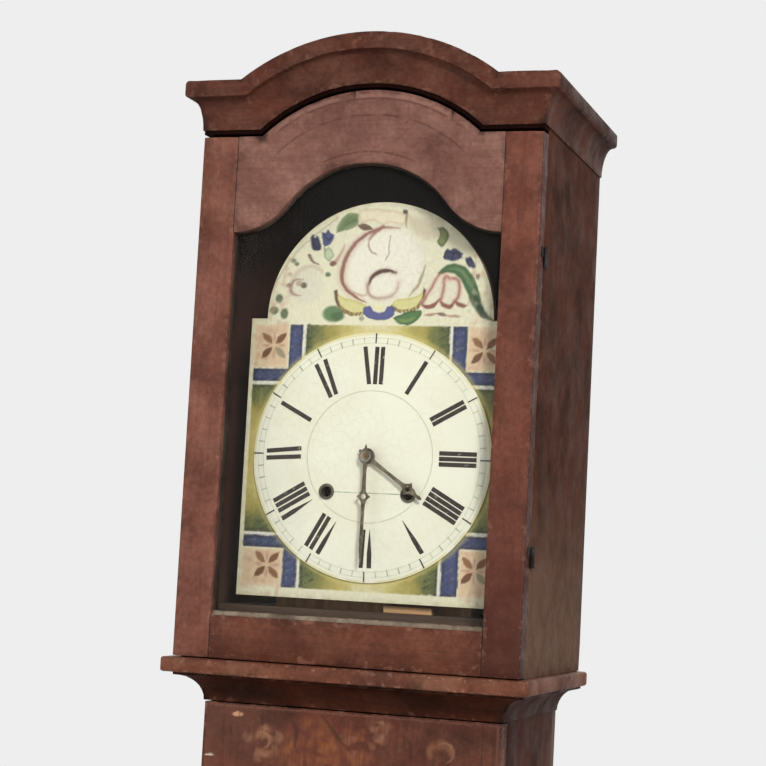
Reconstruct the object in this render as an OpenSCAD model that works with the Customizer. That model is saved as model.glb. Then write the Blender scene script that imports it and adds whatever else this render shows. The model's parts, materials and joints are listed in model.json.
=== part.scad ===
// Longcase clock with an arched hood, a painted arched dial and a weight-driven striking movement.
// Millimetres. +Z is up, the clock faces -Y, and the origin is the middle of the footprint on the floor.

/* [Hood] */
// Width of the hood and of its full-width door
door_w = 327; // [310:1:345]
// Height of the hood door at its shoulders
door_h = 483; // [475:1:495]
// Thickness of the hood door's frame
door_t = 17.5; // [16:0.5:19]
// Depth from the front of the hood door to the wall
hood_depth = 237; // [232:1:260]
// Width of the door's stiles
stile_w = 35; // [30:1:38]
// Height of the door's bottom rail
bottom_rail_h = 40; // [34:1:44]
// Half width of the raised arch of the door, at its shoulders
arch_half_w = 105; // [98:1:112]
// Rise of that arch above the shoulders
arch_rise = 41; // [34:1:46]
// Thickness of the hood's side boards
side_t = 14; // [10:1:15]
// Thickness of the roof boards
roof_t = 6; // [4:1:9]
// Gap between the door and the hood above and below it
door_gap = 1.2; // [0.8:0.2:2]

/* [Door opening] */
// Drop from the door's shoulders to the ogee's ends at the stiles
ogee_end_drop = 90; // [83:1:98]
// Drop from the door's shoulders to the ogee's peak
ogee_peak_drop = 26; // [21:1:38]
// Share of the ogee that is the round crown
ogee_crown = 0.6; // [0.5:0.05:0.7]
// Thickness of the glass
glass_t = 2; // [1.5:0.5:3]
// Width of the rebate that the glass sits in
rebate_w = 6; // [4:1:8]
// Depth of wood left in front of the glass
rebate_front = 9; // [8:0.5:10]

/* [Cornice] */
// Height from the door's top to the foot of the cornice
cornice_gap = 6; // [4:0.5:8]
// Height of the cornice's hollow
cove_h = 29; // [24:1:34]
// Height of the cornice's top fillet
fillet_h = 15.5; // [12:0.5:18]
// How far the cornice stands out
cornice_proj = 16.5; // [14:0.5:20]
// Step between the hollow and the fillet
fillet_step = 4.5; // [2:0.5:6]
// Thickness of the cornice's lower lip
lip_t = 1.5; // [1:0.5:3]

/* [Hood base] */
// Thickness of the plate under the hood
plate_t = 13.5; // [11:0.5:16]
// How far that plate stands out past the door
plate_proj = 8.5; // [6:0.5:10]

/* [Trunk] */
// Height of the hood's foot above the floor
hood_z = 1556; // [1450:1:1600]
// Width of the trunk
trunk_w = 284; // [276:1:286]
// Setback of the trunk's front behind the hood door
trunk_setback = 32; // [30:1:34]
// Thickness of the trunk and base boards
board_t = 17; // [14:1:19]
// Thickness of the backboard
back_t = 12; // [9:1:15]
// Height of the throat moulding under the hood
throat_h = 25.5; // [22:0.5:30]
// How far the throat moulding stands out from the trunk
throat_proj = 24; // [18:1:26]
// Height of the trunk sides' cheeks above the hood's foot
cheek_h = 32; // [26:1:36]

/* [Base] */
// Width of the base
base_w = 326; // [318:1:332]
// Height of the base
base_h = 480; // [420:5:520]
// Setback of the base's front behind the hood door
base_setback = 8; // [6:1:10]
// Height of the waist moulding
waist_h = 28; // [22:1:34]
// How far the waist moulding stands out past the base
waist_over = 4; // [2:1:6]
// Height of the skirting
skirting_h = 90; // [70:5:120]
// Thickness of the skirting
skirting_t = 10; // [8:1:12]

/* [Dial] */
// Width of the dial board
dial_w = 251; // [244:1:254]
// Thickness of the dial board
dial_t = 10; // [8:1:11]
// Setback of the dial's face behind the hood door's front
dial_setback = 41.7; // [41:0.1:46]
// Height of the dial's centre above the hood's foot
dial_z = 191; // [189:1:194]
// Sideways offset of the dial's centre
dial_x = 4; // [0:0.5:6]
// Height from the dial's centre down to its lower edge
dial_down = 132; // [128:1:134]
// Height from the dial's centre up to its shoulders
dial_up = 127; // [123:1:130]
// Radius of the dial's arch
dial_arch_r = 110; // [104:1:114]
// Radius of the white chapter disc
disc_r = 115; // [110:1:118]
// Height of the disc's rim in front of the dial board
disc_rim = 3; // [2:0.5:4]
// Further rise of the disc's middle
disc_dome = 4; // [2:0.5:5]
// Sideways distance of the winding holes from the centre
wind_x = 39.4; // [39:0.1:40]
// Distance of the winding holes below the centre
wind_down = 33.4; // [33:0.1:34]
// Length of the minute hand
minute_len = 99; // [90:1:104]
// Length of the hour hand
hour_len = 66; // [60:1:72]
// Clockwise angle of the hour hand at rest
hour_rest = 125; // [0:1:359]
// Clockwise angle of the minute hand at rest
minute_rest = 180; // [0:1:359]

/* [Movement] */
// Half width of the wooden plates
plates_half_w = 95; // [92:1:98]
// Height of the plates above the dial's centre
plates_up = 95; // [93:1:98]
// Thickness of the plates
plates_t = 9; // [8:0.5:9.5]
// Distance from the dial's face to the front plate
motion_gap = 26; // [25:0.5:27]
// Clear distance between the plates
plates_gap = 60; // [60:0.5:62]
// Radius of the arbors
arbor_r = 2; // [1.8:0.1:2.2]
// Radial clearance of an arbor in its hole
run_fit = 0.1; // [0.06:0.01:0.12]
// Radius of the line drums
drum_r = 20; // [16:0.5:20]
// Radius of the lines
line_r = 1; // [0.8:0.1:1.2]
// Radius of the escape wheel
escape_r = 20; // [18:0.5:20]
// Radius of the bell
bell_r = 38; // [34:1:40]

/* [Weights and pendulum] */
// Radius of a weight
weight_r = 28; // [24:1:30]
// Height of a weight
weight_h = 170; // [140:5:200]
// Distance from the drum's centre down to the weight's hook at rest
line_len = 230; // [220:5:300]
// Distance from the pendulum's pivot to the middle of its bob
pendulum_len = 994; // [940:1:1000]
// Radius of the pendulum bob
bob_r = 55; // [45:1:58]
// Thickness of the pendulum bob
bob_t = 26; // [20:1:28]
// Radius of the pendulum rod
rod_r = 2.5; // [2:0.1:2.8]

/* [Hidden] */

$fn = 64;
eps = 0.01;
// Small seating gap between a moving piece and what it closes against
close_gap = 0.5;

// Driving frame: x is 0 in the middle, y is 0 at the hood door's front and z is 0 at the hood's foot
total_d = hood_depth + cornice_proj;
mid_y = hood_depth - total_d / 2;
half_w = door_w / 2;
arch_r = (arch_half_w * arch_half_w + arch_rise * arch_rise) / (2 * arch_rise);
arch_z = door_h + arch_rise - arch_r;
cornice_top = cornice_gap + cove_h + fillet_h;
head_gap = 2.5;
// How far the outline of the arched head reaches below the arch's centre
head_foot = 40;
// How far the tool under the cornice reaches below its shoulders
under_foot = -60;
side_y = door_t + close_gap;
back_y = hood_depth - back_t;
inner_half_w = half_w - stile_w;
floor_z = -hood_z;

// The ogee: a crown and two flares that meet it along one tangent
ogee_end_z = door_h - ogee_end_drop;
ogee_peak_z = door_h - ogee_peak_drop;
ogee_drop = ogee_peak_z - ogee_end_z;
ogee_sum = (inner_half_w * inner_half_w + ogee_drop * ogee_drop) / (2 * ogee_drop);
crown_r = ogee_sum * ogee_crown;
flare_r = ogee_sum - crown_r;
crown_z = ogee_peak_z - crown_r;
flare_z = ogee_end_z + flare_r;
meet_x = inner_half_w * ogee_crown;
meet_z = crown_z + (flare_z - crown_z) * ogee_crown;
glass_low = bottom_rail_h - rebate_w;
glass_top = ogee_peak_z + rebate_w + 1.5;
glass_half = inner_half_w + rebate_w;
glass_slack = 0.5;
glass_y = rebate_front + 0.2;

// Trunk and base
trunk_half = trunk_w / 2;
trunk_back_of_door = trunk_setback + door_t;
trunk_side_y = trunk_back_of_door + close_gap;
trunk_top = -plate_t - 0.3;
throat_z = trunk_top - throat_h;
trunk_door_top = throat_z - door_gap;
waist_z = floor_z + base_h;
trunk_door_low = waist_z + waist_h + door_gap;
trunk_inner = trunk_half - board_t;
base_half = base_w / 2;
rail_drop = 60;
hinge_out = 2.2;
hinge_r = 2;
hinge_pin_r = 0.9;
latch_x = -trunk_inner + 15;
latch_z = (trunk_door_top + trunk_door_low) / 2 + 60;
spindle_r = 4;
// Half height and depth of the slot in the side board that takes the latch's tongue
latch_slot_half = 26;
latch_slot_deep = 9;

// Movement planes, as depths behind the dial's face
front_plate_v = motion_gap;
train_v = motion_gap + plates_t;
back_plate_v = train_v + plates_gap;
back_face_v = back_plate_v + plates_t;
seat_t = board_t + 1;
seat_z = cheek_h + seat_t;
seat_front = dial_setback + dial_t - 4;
seat_back = dial_setback + back_face_v + 2;
plates_down = dial_z - seat_z;
great_v = train_v + 3;
drum_v = train_v + 11;
drum_len = 34;
flange_r = drum_r + 2;
flange_t = 2;
drum_arbor_r = 3;
fly_v = train_v + 15;
fly_len = 22;
fly_span = 34;
escape_v = train_v + 23;
centre_v = train_v + 31;
third_v = train_v + 39;
pin_v = train_v + 45;
strike_great_v = train_v + 53;
pendulum_v = back_face_v + 18;
wheel_t = 2.5;
pinion_len = 7;
pillar_r = 5;
pillar_x = plates_half_w - 10;
hour_pipe_r = 4.5;
pipe_bore_r = arbor_r + 0.3;
dial_hole_r = hour_pipe_r + 1.5;
wind_hole_r = 5;
line_v = drum_v + drum_len / 2;
line_x = drum_r + line_r + 0.3;
square_w = 4.6;

// Trains: teeth, modules and the places of the arbors, from the dial's centre
great_teeth = 80;
pinion_teeth = 8;
centre_teeth = 60;
third_teeth = 64;
escape_teeth = 30;
cannon_teeth = 15;
minute_teeth = 45;
minute_pinion_teeth = 12;
hour_teeth = 48;
wind_dist = sqrt(wind_x * wind_x + wind_down * wind_down);
great_m = 2 * wind_dist / (great_teeth + pinion_teeth);
centre_m = 0.9;
third_m = 0.75;
motion_m = 0.8;
going_at = [wind_x, -wind_down];
strike_at = [-wind_x, -wind_down];
third_dir = 60;
third_dist = centre_m * (centre_teeth + pinion_teeth) / 2;
third_at = third_dist * [cos(third_dir), sin(third_dir)];
escape_dist = third_m * (third_teeth + pinion_teeth) / 2;
escape_at = [0, third_at[1] + sqrt(escape_dist * escape_dist - third_at[0] * third_at[0])];
pallet_gap = 2;
anchor_at = escape_at + [0, escape_r * sqrt(2) + pallet_gap];
minute_at = [0, -motion_m * (cannon_teeth + minute_teeth) / 2];
pin_dir = 100;
pin_at = strike_at + wind_dist * [cos(pin_dir), sin(pin_dir)];
fly_dir = 80;
fly_at = pin_at + third_dist * [cos(fly_dir), sin(fly_dir)];
hammer_at = pin_at + [-32, 12];
wheel_rim = 3.5;
pin_ring_r = centre_m * (centre_teeth / 2 - 1.25) - wheel_rim / 2;
lift_pin_r = 1;
fork_drop = 60;
bell_v = back_plate_v - 7;
bell_rim = plates_up + 25;
bell_t = 2.5;
stand_r = 3;
// Drop from the inside of the bell's crown to the pillar's rim, where the bell rests on it
bell_seat = bell_r - bell_t - sqrt((bell_r - bell_t) * (bell_r - bell_t) - stand_r * stand_r);
head_gap_bell = 1.5;
pivot_pin_r = 1.5;
dial_foot_at = [for (x = [-80, 80], z = [-95, 80]) [x, z]];
pillar_at = [for (x = [-pillar_x, pillar_x], z = [20 - plates_down, plates_up - 12]) [x, z]];

// The angle from one place to another
function dir(a, b) = atan2(b[1] - a[1], b[0] - a[0]);
// A point at a radius, at an angle turned on by a width along the rim
function rim(r, a, w) = r * [cos(a + w / r * 90 / PI), sin(a + w / r * 90 / PI)];
// Depth of the domed disc's face at a radius
function dome(r) = -(disc_rim + disc_dome * (1 - r * r / (disc_r * disc_r)));

// Places a child drawn in the driving frame
module place() {
    translate([0, -mid_y, hood_z]) children();
}
// Places a child drawn from the dial's centre, with y as the depth behind the dial's face
module at_dial() {
    translate([dial_x, dial_setback - mid_y, hood_z + dial_z]) children();
}
// Extrudes a front view from one depth to another
module slab(y0, y1) {
    translate([0, y1, 0]) rotate([90, 0, 0]) linear_extrude(y1 - y0) children();
}
// A round bar along the depth
module bar(at, r, y0, y1) {
    slab(y0, y1) translate(at) circle(r);
}
// A box between two corners
module box(a, b) {
    translate(a) cube(b - a);
}

// The outline of the arched head, grown by h from the door's own outline
module head_outline(h, half) {
    low = arch_z - head_foot;
    translate([-half, low]) square([2 * half, door_h + h - low]);
    intersection() {
        translate([0, arch_z]) circle(arch_r + h, $fn = 180);
        translate([-half, low]) square([2 * half, arch_r + h + head_foot + 1]);
    }
}
// The band between two grown outlines
module head_band(h0, h1, half) {
    difference() {
        head_outline(h1, half);
        head_outline(h0, half + 1);
    }
}
// The ogee opening of the hood door
module ogee_opening() {
    difference() {
        union() {
            translate([-inner_half_w, bottom_rail_h]) square([2 * inner_half_w, meet_z - bottom_rail_h]);
            intersection() {
                translate([0, crown_z]) circle(crown_r, $fn = 128);
                translate([-meet_x, meet_z - eps]) square([2 * meet_x, ogee_peak_z - meet_z + 1]);
            }
        }
        for (s = [-1, 1]) translate([s * inner_half_w, flare_z]) circle(flare_r, $fn = 128);
    }
}
// The door's frame in front view
module door_outline() {
    translate([-half_w, door_gap]) square([door_w, door_h - door_gap]);
    head_outline(0, half_w);
}
// What is cut away behind the frame for the glass
module glass_rebate() {
    box([-glass_half, rebate_front, glass_low], [glass_half, door_t + 1, glass_top]);
}

// Region under the cornice's profile, as distance out and height above the door's outline
function cornice_under(foot) = concat(
    [[-1, foot], [-1, cornice_gap], [lip_t, cornice_gap]],
    [for (i = [1:8]) [lip_t + (cornice_proj - fillet_step - lip_t) * (1 - cos(i * 11.25)),
        cornice_gap + cove_h * sin(i * 11.25)]],
    [[cornice_proj + 1, cornice_gap + cove_h], [cornice_proj + 1, foot]]);

// A hollow moulding round three sides of a box, wide end up, or turned over
module three_sided_moulding(half, front, z0, h, proj, lip, fillet) {
    under = concat([[-1, -1], [lip, -1]], [for (i = [0:8]) [lip + (proj - 1 - lip) * (1 - cos(i * 11.25)),
        (h - fillet) * sin(i * 11.25)]], [[proj + 1, h - fillet], [proj + 1, -2], [-1, -2]]);
    difference() {
        box([-half - proj, front - proj, z0], [half + proj, hood_depth, z0 + h]);
        box([-half, front, z0 - 1], [half, hood_depth + 1, z0 + h + 1]);
        translate([-half - proj - 1, front, z0]) rotate([90, 0, 90])
            linear_extrude(2 * (half + proj + 1)) mirror([1, 0]) polygon(under);
        for (s = [0, 1]) mirror([s, 0, 0]) translate([half, hood_depth + 1, z0]) rotate([90, 0, 0])
            linear_extrude(hood_depth - front + proj + 2) polygon(under);
    }
}

// One plain hinge half: a knuckle with its leaf on the outer face
module knuckle(x, y, z0, z1, bore, leaf_y0, leaf_y1) {
    difference() {
        union() {
            translate([x + hinge_out, y, z0]) cylinder(r = hinge_r, h = z1 - z0, $fn = 32);
            box([x, leaf_y0, z0], [x + 0.8, leaf_y1, z1]);
        }
        translate([x + hinge_out, y, z0 - 1]) cylinder(r = bore, h = z1 - z0 + 2, $fn = 32);
    }
}

// Gear outlines: a wheel with strong teeth and a pinion with thin leaves
module toothed(m, n, phase, add, ded, root_w, pitch_w, tip_w) {
    r = m * n / 2;
    polygon([for (i = [0:n - 1], p = [[r - ded * m, -root_w], [r, -pitch_w], [r + add * m, -tip_w],
        [r + add * m, tip_w], [r, pitch_w], [r - ded * m, root_w]])
        rim(p[0], phase + 360 / n * i, p[1] * m)]);
}
module wheel_outline(m, n, phase, hub) {
    r = m * n / 2 - 1.25 * m;
    difference() {
        toothed(m, n, phase, 0.9, 1.25, 1.5, 1.2, 0.45);
        difference() {
            circle(r - wheel_rim);
            circle(hub);
            for (i = [0:3]) rotate(phase + 45 + 90 * i) translate([0, -2]) square([r, 4]);
        }
    }
}
module pinion_outline(m, n, phase) {
    toothed(m, n, phase, 0.5, 1.3, 0.55, 0.9, 0.45);
}
// Draws a wheel, a pinion or any outline at a place and depth
module disc_at(at, v0, t) {
    slab(v0, v0 + t) translate(at) children();
}

// Case
module base_skirting() color([0.33, 0.15, 0.12]) place() {
    half = base_half + skirting_t;
    difference() {
        union() {
            box([-half, base_setback - skirting_t, floor_z], [half, hood_depth, floor_z + skirting_h - 8]);
            box([-half + 4, base_setback - skirting_t + 4, floor_z],
                [half - 4, hood_depth, floor_z + skirting_h]);
        }
        box([-base_half, base_setback, floor_z - 1], [base_half, hood_depth + 1, floor_z + skirting_h + 1]);
    }
}
module base_front() color([0.36, 0.17, 0.13]) place() {
    panel = 60;
    difference() {
        box([-base_half, base_setback, floor_z], [base_half, trunk_setback, waist_z]);
        difference() {
            box([-base_half + panel, base_setback - 1, floor_z + skirting_h + panel * 0.8],
                [base_half - panel, base_setback + 5, waist_z - panel * 0.8]);
            box([-base_half + panel + 14, base_setback - 2, floor_z + skirting_h + panel * 0.8 + 14],
                [base_half - panel - 14, base_setback + 6, waist_z - panel * 0.8 - 14]);
        }
    }
}
module base_sides() color([0.34, 0.16, 0.12]) place() difference() {
    slack = 1;
    for (s = [0, 1]) mirror([s, 0, 0])
        box([base_half - board_t, trunk_setback, floor_z], [base_half, back_y, waist_z]);
    box([-trunk_half - slack, trunk_setback - 1, waist_z - rail_drop - slack],
        [trunk_half + slack, back_y + 1, waist_z + 1]);
}
module backboard() color([0.30, 0.20, 0.14]) place() {
    slack = 1;
    slab(back_y, hood_depth) union() {
        translate([-base_half, floor_z]) square([base_w, base_h]);
        translate([-trunk_half, floor_z]) square([trunk_w, hood_z]);
        intersection() {
            head_outline(cornice_top - roof_t - slack, half_w);
            translate([-half_w + side_t + slack, slack]) square([door_w - 2 * (side_t + slack), 2 * door_h]);
        }
        translate([-trunk_half, -slack]) square([trunk_w, door_h]);
    }
}
module waist_moulding() color([0.31, 0.14, 0.11]) place() {
    grow = base_half + waist_over - trunk_half;
    translate([0, 0, 2 * waist_z + waist_h]) mirror([0, 0, 1])
        three_sided_moulding(trunk_half, trunk_setback, waist_z, waist_h, grow, 2, 7);
}
module trunk_side() {
    box([trunk_inner, trunk_side_y, waist_z - rail_drop], [trunk_half, back_y, cheek_h]);
}
module trunk_side_left() color([0.34, 0.16, 0.12]) place() difference() {
    mirror([1, 0, 0]) trunk_side();
    box([-trunk_inner - latch_slot_deep, trunk_side_y + 1, latch_z - latch_slot_half],
        [-trunk_inner + 1, trunk_side_y + 9, latch_z + latch_slot_half]);
}
module trunk_side_right() color([0.34, 0.16, 0.12]) place() trunk_side();
module trunk_rails() color([0.35, 0.16, 0.12]) place() {
    box([-trunk_half, trunk_setback, throat_z], [trunk_half, trunk_side_y, trunk_top]);
    box([-trunk_half, trunk_setback, waist_z - rail_drop], [trunk_half, trunk_side_y, waist_z + waist_h]);
}
module throat_moulding() color([0.27, 0.12, 0.10]) place()
    three_sided_moulding(trunk_half, trunk_setback, throat_z, throat_h, throat_proj, lip_t, 3);
module seatboard() color([0.38, 0.30, 0.24]) place() difference() {
    box([-trunk_half, seat_front, cheek_h], [trunk_half, seat_back, seat_z]);
    for (s = [-1, 1]) {
        box([dial_x + s * (wind_x + line_x) - 7, dial_setback + drum_v + 2, cheek_h - 1],
            [dial_x + s * (wind_x + line_x) + 7, dial_setback + drum_v + drum_len - 2, seat_z + 1]);
    }
}
module seatboard_wedge() color([0.72, 0.58, 0.42]) place()
    translate([dial_x + 16, seat_front + 4, seat_z]) rotate([90, 0, 90]) linear_extrude(46)
        polygon([[0, 0], [14, 0], [14, 8], [0, 6]]);

// Movement frame
module plate_outline() {
    translate([-plates_half_w, -plates_down]) square([2 * plates_half_w, plates_down + plates_up]);
}
module front_plate() color([0.62, 0.45, 0.28]) at_dial() slab(front_plate_v, train_v) difference() {
    plate_outline();
    circle(arbor_r + run_fit);
    translate(minute_at) circle(arbor_r + run_fit);
    for (p = [third_at, escape_at, anchor_at, pin_at, fly_at, hammer_at])
        translate(p) circle(arbor_r + run_fit);
    for (p = [going_at, strike_at]) translate(p) circle(drum_arbor_r + run_fit);
}
module back_plate() color([0.60, 0.43, 0.27]) at_dial() slab(back_plate_v, back_face_v) difference() {
    plate_outline();
    for (p = [[0, 0], third_at, escape_at, anchor_at, pin_at, fly_at, hammer_at])
        translate(p) circle(arbor_r + run_fit);
    for (p = [going_at, strike_at]) translate(p) circle(drum_arbor_r + run_fit);
}
module movement_pillars() color([0.66, 0.50, 0.32]) at_dial() {
    for (p = pillar_at) bar(p, pillar_r, train_v, back_plate_v);
    for (p = dial_foot_at) bar(p, 4, dial_t, front_plate_v);
}

// Dial
module dial_board() color([0.78, 0.72, 0.55]) at_dial() slab(0, dial_t) difference() {
    union() {
        translate([-dial_w / 2, -dial_down]) square([dial_w, dial_down + dial_up]);
        translate([0, dial_up]) circle(dial_arch_r, $fn = 128);
    }
    circle(dial_hole_r);
    for (s = [-1, 1]) translate([s * wind_x, -wind_down]) circle(wind_hole_r + 1);
}
module chapter_disc() color([0.86, 0.85, 0.76]) at_dial() difference() {
    rotate([90, 0, 0]) rotate_extrude($fn = 128)
        polygon(concat([[0, 0], [disc_r - 1, 0], [disc_r, 1]],
            [for (i = [0:10]) let (r = disc_r * (1 - i / 10)) [r, -dome(r) - (i == 0 ? 0.6 : 0)]]));
    bar([0, 0], dial_hole_r, -20, 10);
    for (s = [-1, 1]) bar([s * wind_x, -wind_down], wind_hole_r + 1, -20, 10);
}
module winding_grommets() color([0.42, 0.38, 0.32]) at_dial() {
    face = dome(wind_dist - wind_hole_r - 2.3) - 0.05;
    for (s = [-1, 1]) difference() {
        union() {
            bar([s * wind_x, -wind_down], wind_hole_r + 0.9, face - 0.8, dial_t);
            bar([s * wind_x, -wind_down], wind_hole_r + 2.3, face - 0.8, face);
        }
        bar([s * wind_x, -wind_down], wind_hole_r, face - 2, dial_t + 1);
    }
}

// Hood
module hood_side_right() color([0.34, 0.17, 0.13]) place()
    box([half_w - side_t, side_y, 0], [half_w, hood_depth, door_h + cornice_top - roof_t]);
module hood_side_left() color([0.34, 0.17, 0.13]) place() mirror([1, 0, 0])
    box([half_w - side_t, side_y, 0], [half_w, hood_depth, door_h + cornice_top - roof_t]);
module hood_roof() color([0.26, 0.14, 0.11]) place()
    slab(side_y, hood_depth) head_band(cornice_top - roof_t, cornice_top, half_w);
module hood_head_board() color([0.30, 0.14, 0.11]) place()
    slab(0, side_y) head_band(head_gap, cornice_top, half_w);
module hood_cornice() color([0.38, 0.18, 0.14]) place() difference() {
    out = half_w + cornice_proj;
    union() {
        slab(-cornice_proj, 0) difference() {
            head_outline(cornice_top, out);
            translate([-2 * out, -door_h]) square([4 * out, 2 * door_h + cornice_gap]);
        }
        for (s = [0, 1]) mirror([s, 0, 0])
            box([half_w, -eps, door_h + cornice_gap], [out, hood_depth, door_h + cornice_top]);
    }
    translate([0, 0, arch_z]) rotate([90, 0, 0]) rotate_extrude($fn = 180)
        polygon([for (p = cornice_under(-arch_r)) [arch_r + p[1], p[0]]]);
    translate([-out - 1, 0, door_h]) rotate([90, 0, 90]) linear_extrude(2 * out + 2)
        mirror([1, 0]) polygon(cornice_under(under_foot));
    for (s = [0, 1]) mirror([s, 0, 0]) translate([half_w, hood_depth + 1, door_h]) rotate([90, 0, 0])
        linear_extrude(total_d + 2) polygon(cornice_under(under_foot));
}
module hood_base_frame() color([0.37, 0.19, 0.15]) place() difference() {
    slack = 1;
    box([-half_w - plate_proj, -plate_proj, -plate_t], [half_w + plate_proj, hood_depth, 0]);
    box([-trunk_half - slack, trunk_side_y - slack - 4, -plate_t - 1],
        [trunk_half + slack, hood_depth + 1, 1]);
}

// Hood door
module hood_door_piece(x0, x1) {
    difference() {
        slab(0, door_t) intersection() {
            door_outline();
            translate([x0, 0]) square([x1 - x0, 2 * door_h]);
        }
        glass_rebate();
    }
}
module hood_door_stile_left() color([0.37, 0.17, 0.13]) place() hood_door_piece(-half_w, -inner_half_w);
module hood_door_stile_right() color([0.36, 0.16, 0.12]) place() hood_door_piece(inner_half_w, half_w);
module hood_door_arch_rail() color([0.38, 0.18, 0.14]) place() difference() {
    slab(0, door_t) difference() {
        intersection() {
            door_outline();
            translate([-inner_half_w, ogee_end_z]) square([2 * inner_half_w, door_h]);
        }
        ogee_opening();
    }
    glass_rebate();
}
module hood_door_bottom_rail() color([0.38, 0.18, 0.14]) place() difference() {
    slab(0, door_t) translate([-inner_half_w, door_gap]) square([2 * inner_half_w, bottom_rail_h - door_gap]);
    glass_rebate();
}
module hood_door_glass() color([0.62, 0.68, 0.66, 0.4]) place()
    box([-glass_half + glass_slack, glass_y, glass_low + glass_slack],
        [glass_half - glass_slack, glass_y + glass_t, glass_top - glass_slack]);
module hood_door_bead() color([0.33, 0.16, 0.12]) place() difference() {
    box([-glass_half, glass_y + glass_t, glass_low], [glass_half, door_t, glass_top]);
    box([-inner_half_w, glass_y, bottom_rail_h], [inner_half_w, door_t + 1, glass_top - rebate_w + 1]);
}
hood_hinge_z = [for (k = [0.22, 0.77]) k * door_h];
trunk_hinge_z = [for (k = [0.15, 0.85]) trunk_door_low + k * (trunk_door_top - trunk_door_low)];
module moving_hinges(x, y, places) {
    for (z = places) knuckle(x, y, z + 0.3, z + 9, hinge_pin_r + run_fit, y - 10, y - close_gap / 2 - 0.1);
}
module fixed_hinges(x, y, places) {
    for (z = places) {
        knuckle(x, y, z - 9, z, hinge_pin_r, y + close_gap / 2 + 0.1, y + 9);
        translate([x + hinge_out, y, z - 9]) cylinder(r = hinge_pin_r, h = 19, $fn = 32);
    }
}
module hood_door_hinges() color([0.30, 0.27, 0.25]) place()
    moving_hinges(half_w, door_t + close_gap / 2, hood_hinge_z);
module hood_hinge_plates() color([0.30, 0.27, 0.25]) place()
    fixed_hinges(half_w, door_t + close_gap / 2, hood_hinge_z);

// Trunk door
module trunk_door() color([0.40, 0.18, 0.14]) place() difference() {
    box([-trunk_half, trunk_setback, trunk_door_low], [trunk_half, trunk_back_of_door, trunk_door_top]);
    bar([latch_x, latch_z], spindle_r + run_fit, trunk_setback - 1, trunk_back_of_door + 1);
}
module trunk_door_hinges() color([0.30, 0.27, 0.25]) place()
    moving_hinges(trunk_half, trunk_back_of_door + close_gap / 2, trunk_hinge_z);
module trunk_hinge_plates() color([0.30, 0.27, 0.25]) place()
    fixed_hinges(trunk_half, trunk_back_of_door + close_gap / 2, trunk_hinge_z);
module trunk_door_latch() color([0.60, 0.47, 0.25]) place() {
    bar([latch_x, latch_z], spindle_r, trunk_setback - 8, trunk_side_y + 6);
    translate([latch_x, trunk_setback - 0.3, latch_z]) rotate([90, 0, 0]) rotate_extrude()
        polygon([[0, 0], [9, 0], [9, 1.5], [5, 3], [5, 8], [9, 12], [9.5, 15], [7, 18], [0, 18.5]]);
    box([latch_x - 5, trunk_side_y + 2, latch_z - 5], [latch_x + 5, trunk_side_y + 6, latch_z + 21]);
}

// Motion work and hands
module centre_wheel() color([0.72, 0.58, 0.28]) at_dial() {
    bar([0, 0], arbor_r, -20.5, back_face_v - 1);
    disc_at([0, 0], motion_gap - 9, 3) toothed(motion_m, cannon_teeth, -90, 0.9, 1.25, 1.3, 1.1, 0.45);
    disc_at([0, 0], great_v - 2, pinion_len)
        pinion_outline(great_m, pinion_teeth, dir(going_at, [0, 0]) + 180 + 180 / pinion_teeth);
    disc_at([0, 0], centre_v, wheel_t) wheel_outline(centre_m, centre_teeth, third_dir, 7);
}
module minute_wheel() color([0.72, 0.58, 0.28]) at_dial() {
    bar(minute_at, arbor_r, motion_gap - 13.5, train_v - 1);
    disc_at(minute_at, motion_gap - 9, 2) wheel_outline(motion_m, minute_teeth, 90 + 180 / minute_teeth, 7);
    disc_at(minute_at, motion_gap - 14, 4) pinion_outline(motion_m, minute_pinion_teeth, 90);
}
module hour_wheel() color([0.72, 0.58, 0.28]) at_dial() difference() {
    union() {
        bar([0, 0], hour_pipe_r, -14, motion_gap - 10);
        disc_at([0, 0], motion_gap - 13, 2) wheel_outline(motion_m, hour_teeth, -90 + 180 / hour_teeth, 8);
    }
    bar([0, 0], pipe_bore_r, -15, motion_gap);
}
// A pierced hand between two depths: a ring, a slender stem, an open diamond and a point
module hand(y0, y1, angle, length, ring_r, bore_r, stem, diamond_at, diamond, tail) {
    module layer(grow) {
        slab(y0 - grow, y1 + grow) rotate(-angle) children();
    }
    difference() {
        union() {
            layer(0) circle(ring_r);
            layer(0) polygon([[-stem, 0], [-stem * 1.1, length * 0.75], [0, length],
                [stem * 1.1, length * 0.75], [stem, 0], [0, -ring_r - tail]]);
            layer(0) translate([0, diamond_at])
                polygon([[0, -diamond * 1.3], [diamond, 0], [0, diamond * 1.3], [-diamond, 0]]);
        }
        layer(1) circle(bore_r);
        layer(1) translate([0, diamond_at])
            polygon([[0, -diamond * 0.7], [diamond * 0.5, 0], [0, diamond * 0.7], [-diamond * 0.5, 0]]);
    }
}
module hour_hand() color([0.45, 0.38, 0.28]) at_dial()
    hand(-13.5, -12.3, hour_rest, hour_len, hour_pipe_r + 3, hour_pipe_r + 0.05, 1.6, hour_len * 0.72,
        5.5, 2);
module minute_hand() color([0.45, 0.38, 0.28]) at_dial()
    hand(-17, -15.8, minute_rest, minute_len, 5, arbor_r + 0.05, 1.5, 35, 5, 6);
module hand_nut() color([0.62, 0.60, 0.55]) at_dial() difference() {
    union() {
        bar([0, 0], 5.5, -18, -17);
        bar([0, 0], 3.5, -20, -18);
    }
    bar([0, 0], arbor_r + 0.05, -21, -16);
}

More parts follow.
